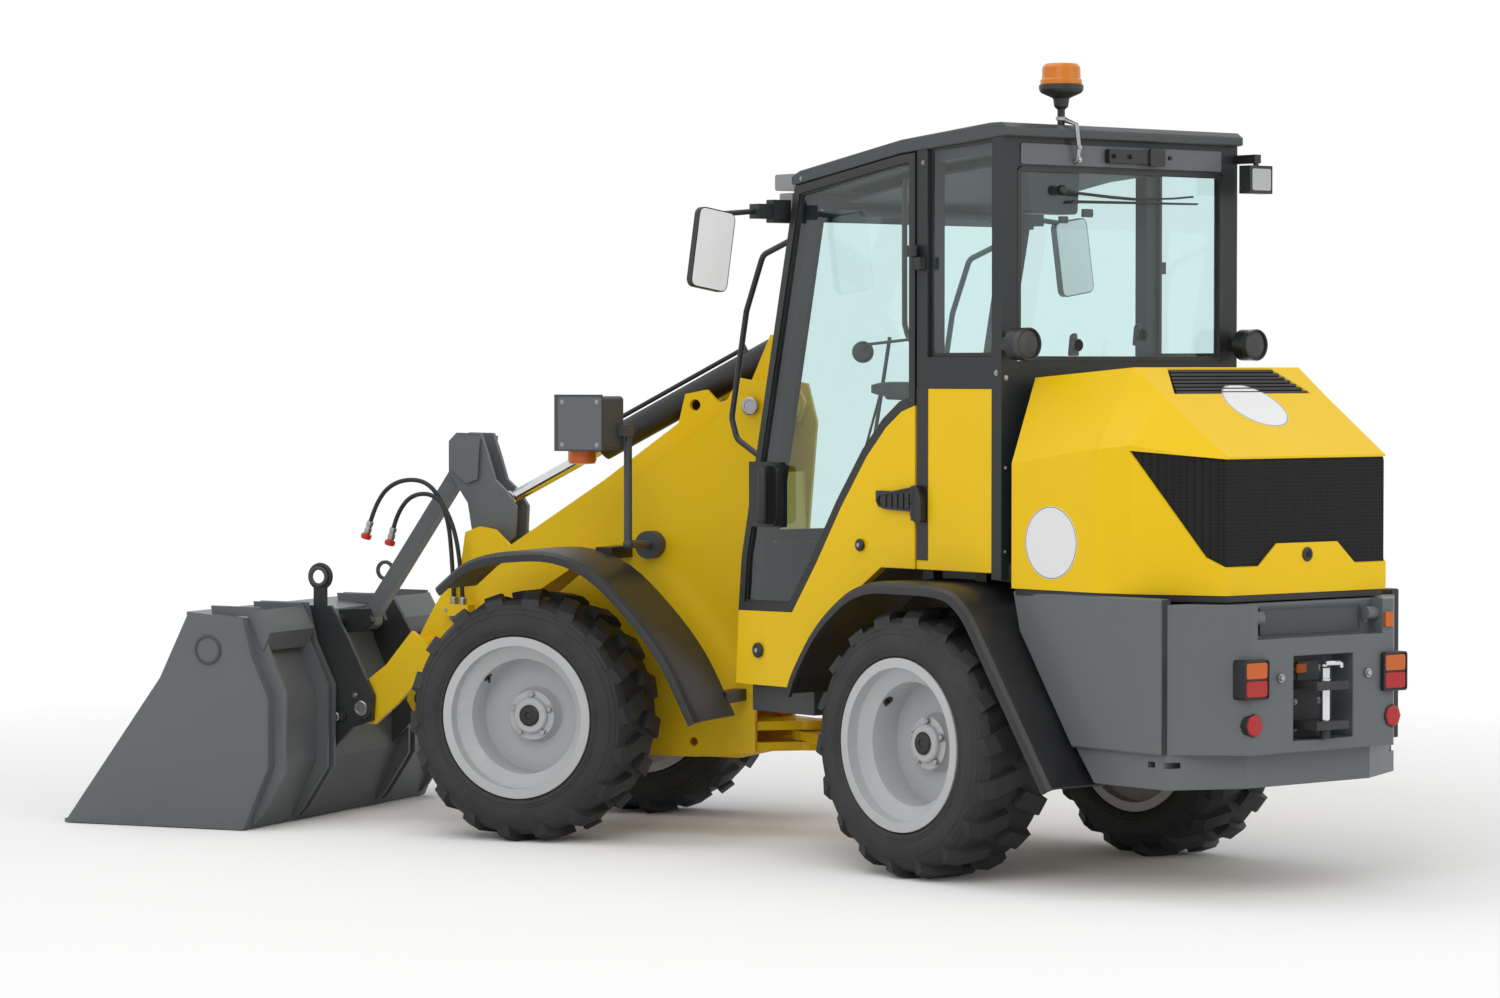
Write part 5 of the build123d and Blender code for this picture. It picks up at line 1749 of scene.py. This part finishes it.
@dataclass
class Cushion:
    """A padded piece: a crowned form with sewn channels, from its middle, directions and size."""

    name: str
    middle: Vector
    across: Vector
    along: Vector
    out: Vector
    size: tuple
    channels: tuple
    crown: float = 0.35
    cells: int = 22
    border: float = 0.68
    fill: float = 0.7

    def build(self, finish: Finish, replaces: tuple = ()) -> None:
        """Args:
            finish: A finish of Paints.
            replaces: CAD nodes that it stands for.
        """
        bm = bmesh.new()
        bmesh.ops.create_cube(bm, size=2.0)
        bmesh.ops.subdivide_edges(bm, edges=bm.edges[:], cuts=self.cells, use_grid_fill=True)
        half = [length / 2 for length in self.size]
        for vert in bm.verts:
            a, b, c = vert.co
            edge = (1 - abs(a) ** 5) * (1 - abs(b) ** 5)
            pinch = 1 - 0.03 * (1 - b * b) * abs(a) - 0.03 * (1 - a * a) * abs(b)
            puff = 1 - self.crown * (1 - max(edge, 0) ** 0.5)
            if c > 0:
                for place in self.channels:
                    puff -= 0.16 * math.exp(-((b - place) / 0.035) ** 2) * (abs(a) < self.border)
                puff -= 0.18 * math.exp(-((abs(a) - self.border) / 0.04) ** 2)
                puff += 0.10 * (abs(a) > 0.7)
            spot = self.across * a * half[0] * pinch + self.along * b * half[1] * pinch
            vert.co = self.middle + spot + self.out * c * half[2] * puff
        bmesh.ops.transform(bm, matrix=Stand.REAR.matrix(), verts=bm.verts)
        bmesh.ops.recalc_face_normals(bm, faces=bm.faces)
        piece = stood(self.name, closed(bm, self.name))
        SHOP.finish(piece, finish)
        for face in piece.data.polygons:
            face.use_smooth = True
        soften = piece.modifiers.new("soften", "SUBSURF")
        soften.levels = soften.render_levels = 1
        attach(piece, "rear_frame")
        if replaces:
            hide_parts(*replaces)


@dataclass
class Fenders:
    """The moulded arches over the wheels, with a rolled lip, from their line over the wheel in side view."""

    rear_line: tuple = (
        (560, 560), (530, 632), (405, 800), (200, 938), (-230, 938), (-330, 870),
        (-395, 780), (-700, 343),
    )
    front_line: tuple = ((2330, 863), (2190, 982), (1790, 1005), (1480, 700), (1345, 434))
    section: tuple = (
        (348, 0), (630, 0), (652, 4), (664, 14), (668, 26), (668, 38), (655, 38),
        (653, 26), (642, 15), (624, 12), (348, 12),
    )
    rear_stays: tuple = (
        ((-150, -100), (380, 420), (930, 1000)),
        ((100, 150), (380, 420), (930, 1000)),
    )
    front_stays: tuple = (
        ((1800, 1860), (185, 360), (955, 995)),
        ((1372, 1420), (185, 360), (470, 510)),
    )
    rear_bend: float = 130.0
    front_bend: float = 200.0

    def build(self) -> None:
        """Make the four arches."""
        rear = self.arch(self.rear_line, self.rear_stays, self.rear_bend)
        front = self.arch(self.front_line, self.front_stays, self.front_bend)
        SHOP.piece("rear_arches", rear, Stand.REAR, "rear_frame", Paints.BLACK, 0.0, ("rear_fenders",))
        SHOP.piece("front_arches", front, Stand.FRONT, "front_frame", Paints.BLACK, 0.0, ("front_fenders",))

    def arch(self, line: Sequence[tuple], stays: Sequence[tuple], radius: float) -> Draft:
        """Sweep the section along a softened line on both sides, and add the stays.

        Args:
            line: The outer face in side view, from front to back.
            stays: Boxes that carry the arch: low and high x, y and z.
            radius: How far before each corner the line starts to bend.

        Returns:
            The draft.
        """
        soft = [line[0]] + [p for corner in self.corners(line, radius) for p in corner] + [line[-1]]
        points = [Vector(p) for p in soft]
        rings = []
        for index, here in enumerate(points):
            before, after = points[max(index - 1, 0)], points[min(index + 1, len(points) - 1)]
            along = (after - before).normalized()
            inward = Vector((-along.y, along.x))
            rings.append([
                Vector((here.x + inward.x * depth, y, here.y + inward.y * depth)) for y, depth in self.section
            ])
        draft = Draft().rings(rings)
        for stay in stays:
            draft.box(*stay)
        return draft.mirrored()

    def corners(self, line: Sequence[tuple], radius: float) -> list[list[tuple]]:
        """The rounded run of points at each inner corner of a line.

        Args:
            line: The line, in order.
            radius: How far before each corner it bends.

        Returns:
            One run for each corner.
        """
        runs = []
        for before, here, after in zip(line, line[1:], line[2:]):
            runs.append(rounded([before, here, after], radius, 7)[8:16])
        return runs


@dataclass
class Interior:
    """Seat, wheel, levers, mirror arm and lining inside the cab."""

    wheel: tuple = (610, 0, 1330)
    column: tuple = (770, 0, 1040)
    wheel_radius: float = 172.0

    def build(self) -> None:
        """Make every piece."""
        self.seat()
        SHOP.pieces(Stand.REAR, "rear_frame", (
            ("seat_shell", self.shell(), Paints.CHARCOAL, 4.0),
            ("helm", self.helm(), Paints.BLACK, 0.0, ("steering_wheel",)),
            ("joystick", self.joystick(), Paints.BLACK, 0.8),
            ("mirror_arm", self.mirror_arm(), Paints.BLACK, 0.5),
            ("cab_lining", self.lining(), Paints.CHARCOAL, 2.0),
            ("gauges", self.gauges(), Paints.CLEAR_LENS, 0.8),
        ))

    def seat(self) -> None:
        """The two cushions and the armrests."""
        lean = Vector((-110, 0, 630)).normalized()
        front = Vector((lean.z, 0, -lean.x))
        Cushion(
            "seat_cushion", Vector((245, 0, 1112)), Y, X, Z, (440, 430, 72), (-0.45, 0.0, 0.45),
        ).build(Paints.CLOTH, ("seat",))
        Cushion(
            "seat_backrest", Vector((-44, 0, 1385)) + front * 6, Y, lean, front, (400, 450, 76),
            (-0.6, -0.2, 0.2, 0.6),
        ).build(Paints.CLOTH)
        for side, name in zip(SIDES, ("left", "right")):
            Cushion(
                "armrest_" + name, Vector((405, side * 250, 1540)), Y, X, Z, (62, 330, 50), (), 0.5, 10,
            ).build(Paints.CLOTH)

    def shell(self) -> Draft:
        """The seat's back shell, base, slides and armrest brackets.

        Returns:
            The draft.
        """
        outline = [(-38, 1085), (-12, 1085), (-96, 1615), (-144, 1622), (-150, 1560), (-80, 1120)]
        draft = Draft().prism(rounded(outline, 20), -205, 205)
        for level in range(4):
            z, pleat = 1042 + level * 9, 12 * (level % 2)
            draft.prism(oblong((245, 0), 380 - pleat, 400 - pleat, 40), z, z + 9, Seen.PLAN)
        for side in SIDES:
            line = [(-100, side * 222, 1490), (-20, side * 240, 1494), (60, side * 250, 1505)]
            draft.tube(line + [(200, side * 250, 1512), (520, side * 250, 1518)], 12)
            draft.box((-120, -70), span(side, 198, 236), (1462, 1518))
        return draft

    def helm(self) -> Draft:
        """The steering wheel with its spokes, its hub and a turning knob.

        Returns:
            The draft.
        """
        axis = (Vector(self.wheel) - Vector(self.column)).normalized()
        right, up = Y, axis.cross(Y).normalized()
        centre = Vector(self.wheel) + axis * 12
        draft = Draft().ring(centre, self.wheel_radius, 13, axis)
        for angle in (0, 128, 232):
            turn = math.radians(angle)
            out = up * math.cos(turn) + right * math.sin(turn)
            draft.tube([centre + out * 30 - axis * 10, centre + out * self.wheel_radius * 0.6 - axis * 4,
                        centre + out * self.wheel_radius], 9)
        draft.turned([(1, -14), (44, -14), (46, -4), (36, 6), (1, 8)], centre, axis, 36)
        knob = centre + right * self.wheel_radius
        return draft.turned([(9, 0), (9, 16), (19, 22), (22, 34), (16, 44), (1, 46)], knob, axis, 28)

    def joystick(self) -> Draft:
        """The lever's boot, stick, shaped grip and switches on the right console.

        Returns:
            The draft.
        """
        foot = Vector((360, -360, 1240))
        tilt = Vector((0.12, 0, 1)).normalized()
        boot = [(44, 0), (40, 8), (42, 14), (34, 20), (36, 27), (26, 33), (28, 40), (17, 46), (17, 60)]
        draft = Draft().turned(boot, foot, tilt, 32)
        grip = [(14, 96), (21, 104), (23, 128), (20, 150), (25, 172), (27, 190), (21, 203), (1, 207)]
        draft.turned(grip, foot, tilt, 32)
        for x in (130, 180, 230):
            draft.box((x, x + 26), (-352, -322), (1240, 1250))
        return draft

    def mirror_arm(self) -> Draft:
        """The round mirror's case and the arm that carries it from the door post.

        Returns:
            The draft.
        """
        centre, face = Vector(ROUND_MIRROR), MIRROR_FACE
        case = [(1, -14), (24, -12), (34, -3), (36, 6), (34, 9), (1, 9)]
        draft = Draft().turned(case, centre, face, 40)
        bend = centre + Vector((-40, 20, 24))
        draft.tube([centre - face * 10, bend, (210, 440, 1700), (72, 452, 1704)], 5)
        return draft.tube([(72, 452, 1640), (72, 452, 1770)], 9)

    def lining(self) -> Draft:
        """The roof lining, the rolled sun blind and the ribbed floor mat.

        Returns:
            The draft.
        """
        under_roof = [(-250, 2262), (130, 2232), (560, 2158), (560, 2150), (130, 2222), (-250, 2252)]
        draft = Draft().prism(under_roof, -380, 380)
        draft.prism(oblong((740, 0), 250, 760, 40), 641, 647, Seen.PLAN)
        draft.tube([(590, -300, 2120), (590, 300, 2120)], 14)
        for index in range(9):
            x = 640 + index * 24
            draft.box((x, x + 8), (-340, 340), (647, 651))
        return draft

    def gauges(self) -> Draft:
        """The instrument glass on the dash.

        Returns:
            The draft.
        """
        draft = Draft()
        for y in (-70, 0, 70):
            draft.turned([(1, 0), (28, 0), (28, 4), (24, 6), (1, 6)], (776, y, 1120), Z, 32)
        return draft


@dataclass
class HeadLamps:
    """The lenses, guard plates, indicators and bolts of the two lamp posts."""

    lamp_x: tuple = (1682, 1846)
    lamp_y: float = 601.0
    lamp_z: tuple = (1333, 1515)

    def build(self) -> None:
        """Make every piece."""
        SHOP.pieces(Stand.FRONT, "front_frame", (
            ("head_lenses", self.lenses(), Paints.CLEAR_LENS, 1.0),
            ("lamp_guards", self.guards(), Paints.GREY, 1.5),
            ("side_repeaters", self.repeaters(), Paints.AMBER_LENS, 0.8),
            ("lamp_bolts", self.bolts(), Paints.STEEL, 0.0),
        ))

    def lenses(self) -> Draft:
        """The clear fronts of the lamps.

        Returns:
            The draft.
        """
        middle = sum(self.lamp_z) / 2
        draft = Draft()
        for side in SIDES:
            outline = oblong((side * self.lamp_y, middle), 140, 158, 16)
            draft.prism(outline, self.lamp_x[1] - 1, self.lamp_x[1] + 4, Seen.END)
        return draft

    def guards(self) -> Draft:
        """The grey plate on each lamp's outer side."""
        middle = sum(self.lamp_z) / 2
        return Draft().prism(oblong((1764, middle), 160, 176, 6), 688, 693.5).mirrored()

    def repeaters(self) -> Draft:
        """The round amber indicators under the lamps.

        Returns:
            The draft.
        """
        draft = Draft()
        for side in SIDES:
            profile = [(46.6, 27), (48, 26), (48, -4), (43, -16), (1, -20)]
            draft.turned([(1, 27)] + profile, (1795, side * 606, 1304), Z, 36)
        return draft

    def bolts(self) -> Draft:
        """Bolt heads on the guard plates and at the posts' feet.

        Returns:
            The draft.
        """
        draft = Draft()
        for side in SIDES:
            for x, z in ((1700, 1352), (1700, 1496), (1828, 1352), (1828, 1496)):
                draft.bolt((x, side * 693, z), Y * side, 11)
        return draft


@dataclass
class Hydraulics:
    """The two hoses that arch from the block on the boom to their capped couplers, and their ends."""

    lines: tuple = (
        ("hose_left", 145, (
            (2512, 775.5), (2518, 930), (2538, 1100), (2610, 1210), (2730, 1215), (2815, 1150), (2845, 1060),
        )),
        ("hose_right", 167, (
            (2466, 775.5), (2474, 912), (2502, 1058), (2566, 1162), (2662, 1166), (2724, 1100), (2741, 1040),
        )),
    )
    wire: float = 0.016

    def build(self) -> None:
        """Lay the hoses and fit their ends."""
        for name, y, points in self.lines:
            start, end, before = points[0], points[-1], points[-2]
            along = Vector((end[0] - before[0], 0, end[1] - before[1])).normalized()
            place = Vector((end[0], y, end[1]))
            profile = [(9, -4), (12.5, -2), (12.5, 12), (10.5, 14), (10.5, 20), (13, 22), (13, 36), (11, 44)]
            turned = Draft().turned(profile, place, along, 28)
            coupler = SHOP.piece(
                name + "_coupler", turned, Stand.FRONT, "boom", Paints.STEEL, 0.4, ("hose_couplers",),
            )
            turned = Draft().turned([(17, 44), (19, 46), (19, 58), (16, 62), (1, 62)], place, along, 28)
            cap = SHOP.piece(name + "_cap", turned, Stand.FRONT, "boom", Paints.RED, 0.8)
            turned = Draft().turned([(11, -6), (13, -5), (13, 22), (8.4, 26)], (start[0], y, start[1]), Z, 24)
            SHOP.piece(name + "_collar", turned, Stand.FRONT, "boom", Paints.STEEL, 0.3)
            self.hose(name, y, points, (coupler, cap))

    def hose(self, name: str, y: float, points: Sequence[tuple], ends: Sequence) -> None:
        """Lay one hose.

        Args:
            name: The hose's name.
            y: The plane that it lies in.
            points: Its route's control points, (x, z) in millimetres.
            ends: The pieces on its far end; not used.
        """
        curve = bpy.data.curves.new(name, "CURVE")
        curve.dimensions = "3D"
        curve.bevel_depth = self.wire / 2
        curve.bevel_resolution = 5
        curve.resolution_u = 14
        curve.use_fill_caps = True
        spline = curve.splines.new("NURBS")
        spline.points.add(len(points) - 1)
        place = Stand.FRONT.matrix()
        for knot, (x, z) in zip(spline.points, points):
            knot.co = (*(place @ Vector((x, y, z))), 1.0)
        spline.order_u = 3
        spline.use_endpoint_u = True
        hose = stood(name, curve)
        curve.materials.append(Paints.get(Paints.HOSE))
        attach(hose, "boom")
        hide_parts("boom_hoses")


@dataclass
class Boom:
    """Pin ends of the boom and its lever, and the screws of the pipes' block."""

    pins: dict = field(default_factory=lambda: {
        "boom": ((1350.0, 1480.0), 205.0, 31.0), "tilt_lever": ((2525.0, 1290.0), 60.0, 33.0),
    })

    def build(self) -> None:
        """Make every piece."""
        ends = (("boom_pins", "boom", Paints.STEEL), ("lever_pads", "tilt_lever", Paints.PALE))
        for name, body, finish in ends:
            SHOP.piece(name, self.pin_ends(body), Stand.FRONT, body, finish, 0.5)
        SHOP.pieces(Stand.FRONT, "boom", (
            ("pipe_block", self.pipes(), Paints.STEEL, 0.6),
            ("boom_bolts", self.bolts(), Paints.STEEL, 0.0),
        ))

    def pin_ends(self, body: str) -> Draft:
        """The turned ends of a body's pin.

        Args:
            body: The body that carries the pin.

        Returns:
            The draft.
        """
        (x, z), half, r = self.pins[body]
        profile = [(r, -3), (r, 5), (r - 4, 8), (r - 12, 8), (r - 13, 6), (1, 6)]
        draft = Draft()
        for side in SIDES:
            draft.turned(profile, (x, side * half, z), Y * side, 36)
        return draft

    def pipes(self) -> Draft:
        """The screw ends under the pipes' block.

        Returns:
            The draft.
        """
        draft = Draft()
        for x in (2466, 2512):
            draft.turned([(13, 0), (13, -12), (10, -14), (10, -20)], (x, 156, 737), Z, 6)
        return draft

    def bolts(self) -> Draft:
        """Bolts of the pipes' block.

        Returns:
            The draft.
        """
        draft = Draft()
        for x in (2450, 2528):
            draft.bolt((x, 182, 755), Y, 10)
        return draft


@dataclass
class Bucket:
    """The wear edge, welds, ring discs and bolts of the bucket and the hitch."""

    half: float = 690.0
    lip: tuple = (3780, 3)
    disc: tuple = (3195, 628)
    disc_radius: float = 52.0

    def build(self) -> None:
        """Make every piece."""
        SHOP.pieces(Stand.FRONT, "bucket", (
            ("bucket_edge", self.edge(), Paints.STEEL, 1.0),
            ("bucket_discs", self.discs(), Paints.CHARCOAL, 1.0),
            ("bucket_beads", self.beads(), Paints.GREY, 0.0),
            ("hitch_rings", self.rings(), Paints.CHARCOAL, 0.6),
            ("hitch_pins", self.pins(), Paints.STEEL, 0.6),
        ))

    def edge(self) -> Draft:
        """The bolted wear edge on the bucket's floor, bright along its lip.

        Returns:
            The draft.
        """
        x, z = self.lip
        wedge = [(x - 118, z + 14), (x - 6, z + 14), (x - 30, z + 19), (x - 118, z + 21)]
        draft = Draft().prism(wedge, -self.half + 16, self.half - 16)
        for index in range(9):
            y = (index - 4) * 150
            draft.turned([(1, 0), (15, 0), (11, 5), (1, 6)], (x - 80, y, z + 20), Z, 20)
        return draft

    def discs(self) -> Draft:
        """The raised ring round each side's disc.

        Returns:
            The draft.
        """
        x, z = self.disc
        draft = Draft()
        for side in SIDES:
            r = self.disc_radius
            profile = [(r - 9, 0), (r, 0), (r, 4), (r - 3, 6), (r - 9, 6)]
            draft.turned(profile, (x, side * (self.half + 2), z), Y * side, 48, True)
        return draft

    def beads(self) -> Draft:
        """Weld beads along the bucket's ribs and back plate.

        Returns:
            The draft.
        """
        draft = Draft()
        for side in SIDES:
            y = side * (self.half - 1)
            line = [(3062, y, 741), (3030, y, 612), (2963, y, 466), (2963, y, 226), (3061, y, 8)]
            draft.tube(line, 4.5, 8)
        return draft

    def pins(self) -> Draft:
        """The turned ends of the hitch's pins and their keeper bolts.

        Returns:
            The draft.
        """
        draft = Draft()
        for side in SIDES:
            for x, z, r in ((2820, 405, 27), (2922, 372, 17)):
                profile = [(r, -2), (r, 5), (r - 3, 8), (r - 9, 8), (r - 10, 6), (1, 6)]
                draft.turned(profile, (x, side * 267, z), Y * side, 32)
            draft.bolt((2852, side * 251, 448), Y * side, 15)
        return draft

    def rings(self) -> Draft:
        """The collars in the rings on top of the hitch.

        Returns:
            The draft.
        """
        draft = Draft()
        for side in SIDES:
            profile = [(24, 0), (37, 0), (37, 8), (33, 11), (27, 11), (24, 8)]
            draft.turned(profile, (2995, side * 251, 868), Y * side, 40, True)
        return draft


@dataclass
class Studio:
    """The camera at the photograph's view, the floor and the lights."""

    image_width: int = 1500
    focal_pixels: float = 4315.5
    sensor: float = 36.0
    eye: Point = (-10.1810, 9.5795, 1.6115)
    heading: float = -39.262
    tilt: float = -1.745
    floor_size: float = 60.0
    middle: Point = (0.3, 0.1, 0.0)
    aim: Point = (0.0, 0.0, 1.0)
    floor_tint: Colour = (0.88, 0.88, 0.88)
    floor_fade: tuple = (3.2, 6.5)
    floor_glow: float = 0.8
    ambient: float = 0.8
    shown_rays: tuple = ("Is Camera Ray", "Is Glossy Ray", "Is Transmission Ray")
    lights: tuple = (
        ("key", (-6.0, 7.0, 6.5), 5.0, 170.0, (1.0, 0.99, 0.97)),
        ("top", (1.0, 1.0, 8.0), 6.0, 120.0, (1.0, 1.0, 1.0)),
        ("fill", (-8.0, -3.0, 4.0), 4.0, 60.0, (0.97, 0.985, 1.0)),
    )

    def build(self) -> None:
        """Set the camera, the floor, the world and the lamps."""
        self.camera()
        self.floor()
        self.world()
        self.lamps()

    def camera(self) -> None:
        """The camera, placed from the rear axle."""
        data = bpy.data.cameras.new("camera")
        data.sensor_fit = "HORIZONTAL"
        data.sensor_width = self.sensor
        data.lens = self.focal_pixels / self.image_width * self.sensor
        data.clip_end = 200.0
        camera = stood("camera", data)
        camera.location = (BENCH.x + self.eye[0], BENCH.y + self.eye[1], self.eye[2])
        camera.rotation_euler = (math.radians(90 + self.tilt), 0.0, math.radians(self.heading - 90))
        bpy.context.scene.camera = camera

    def floor(self) -> None:
        """A pale floor that keeps the machine's shadow and turns to the white background further out."""
        bm = bmesh.new()
        bmesh.ops.create_grid(bm, x_segments=12, y_segments=12, size=self.floor_size / 2)
        floor = stood("floor", closed(bm, "floor"))
        sheet = Sheet("pale_floor")
        cloud = sheet.noise(0.7, 3.0)
        pale = sheet.blend(cloud, self.floor_tint, tuple(c + 0.02 for c in self.floor_tint))
        matt = sheet.node("ShaderNodeBsdfDiffuse", {}, {"Color": pale, "Roughness": 0.6})
        away = sheet.node("ShaderNodeVectorMath", {"operation": "LENGTH"}, {0: self.flat(sheet)}, "Value")
        far = sheet.ramp(away, *self.floor_fade)
        glow = self.glow(sheet, "ShaderNodeEmission", self.floor_glow)
        floor.data.materials.append(sheet.close(sheet.mix(far, matt, glow)))

    def flat(self, sheet: Sheet) -> Socket:
        """The point on the floor, measured from the middle of the machine."""
        inputs = {0: sheet.place(), 1: self.middle}
        return sheet.node("ShaderNodeVectorMath", {"operation": "SUBTRACT"}, inputs, "Vector")

    def seen(self, sheet: Sheet) -> Socket:
        """1 on rays from the camera, mirrored or through glass."""
        first, second, third = (sheet.node("ShaderNodeLightPath", {}, {}, ray) for ray in self.shown_rays)
        return (first + second + third).clamped()

    def glow(self, sheet: Sheet, kind: str, level: float) -> Socket:
        """White light of a level, and of 1 where it is seen.

        Args:
            sheet: The tree that it belongs to.
            kind: The type of the light's node.
            level: Its strength on the rays that only light the machine.

        Returns:
            The mixed shader.
        """
        dim, full = (
            sheet.node(kind, {}, {"Color": WHITE_LIGHT, "Strength": strength}) for strength in (level, 1.0)
        )
        return sheet.mix(self.seen(sheet), dim, full)

    def world(self) -> None:
        """An even pale world, white where the camera sees it."""
        sheet = Sheet("studio", world=True)
        bpy.context.scene.world = sheet.close(self.glow(sheet, "ShaderNodeBackground", self.ambient))

    def lamps(self) -> None:
        """Large soft lamps: the key over the camera's left shoulder, one overhead and a fill behind."""
        for name, place, size, power, colour in self.lights:
            data = bpy.data.lights.new(name, "AREA")
            data.size = size
            data.energy = power
            data.color = colour
            lamp = stood(name, data)
            lamp.location = place
            lamp.rotation_euler = (Vector(self.aim) - Vector(place)).to_track_quat("-Z", "Y").to_euler()


@dataclass
class Bodywork:
    """The CAD pieces that keep their form and get rounded edges and a finish."""

    painted: tuple = (
        (Paints.YELLOW, (
            "rear_chassis", "front_chassis", "boom", "hood", "side_panels", "door_left", "door_right",
        )),
        (Paints.ANTHRACITE, ("quick_hitch", "cab_frame")),
        (Paints.ROOF, ("cab_roof",)),
        (Paints.ANTHRACITE, ("rear_axle", "front_axle")),
        (Paints.GREY, ("tilt_lever", "tilt_link")),
        (Paints.BLACK, ("tilt_barrel",)),
        (Paints.ANTHRACITE, ("lift_barrel", "steer_barrel")),
        (Paints.BLACK, ("door_hinges",)),
        (Paints.GREY, ("counterweight", "side_covers", "bucket")),
        (Paints.CHARCOAL, ("side_tanks",)),
        (Paints.IRON, ("engine_block", "tow_hitch")),
        (Paints.CHARCOAL, ("dash", "console")),
        (Paints.BLACK, ("work_lights", "mirrors")),
        (Paints.CHARCOAL, ("head_lamps",)),
        (Paints.BEACON, ("beacon",)),
        (Paints.BLACK, ("door_left_frame", "door_right_frame", "beacon_base", "handrails")),
        (Paints.RED, ("lock_bar",)),
        (Paints.GRILLE, ("grille",)),
        (Paints.CHROME, ("lift_rod", "tilt_rod", "steer_rod")),
    )
    glazed: tuple = (
        "windscreen", "rear_window", "quarter_windows", "door_left_glass", "door_right_glass",
    )
    eased: dict = field(default_factory=lambda: {
        "hood": 20.0, "cab_roof": 14.0, "counterweight": 14.0, "side_covers": 8.0, "front_chassis": 4.0,
    })
    small_edge: float = 2.0
    tyre_edge: float = 4.0
    rim_edge: float = 2.0

    def build(self) -> None:
        """Dress every node."""
        for finish, nodes in self.painted:
            for node in nodes:
                piece = SHOP.soften(node, finish)
                if node in self.eased:
                    SHOP.ease(piece, self.eased[node], self.small_edge)
        for node in self.glazed:
            SHOP.dress(node, Paints.GLASS)
        for wheel in CORNERS:
            SHOP.soften("tyre_" + wheel, Paints.TYRE, self.tyre_edge)
            SHOP.soften("rim_" + wheel, Paints.SILVER, self.rim_edge)


def main() -> None:
    """Build the studio and every sub-assembly, and log each."""
    logging.basicConfig(level=logging.INFO, format="%(message)s")
    bpy.context.scene.view_settings.view_transform = "Standard"
    for part in (
        Studio(), Bodywork(), Wheels(), Fenders(), Tail(), Hood(), Glazing(), CabTrim(), Interior(),
        HeadLamps(), Hydraulics(), Boom(), Bucket(),
    ):
        part.build()
        LOG.info("built %s", type(part).__name__)


if __name__ == "__main__":
    main()
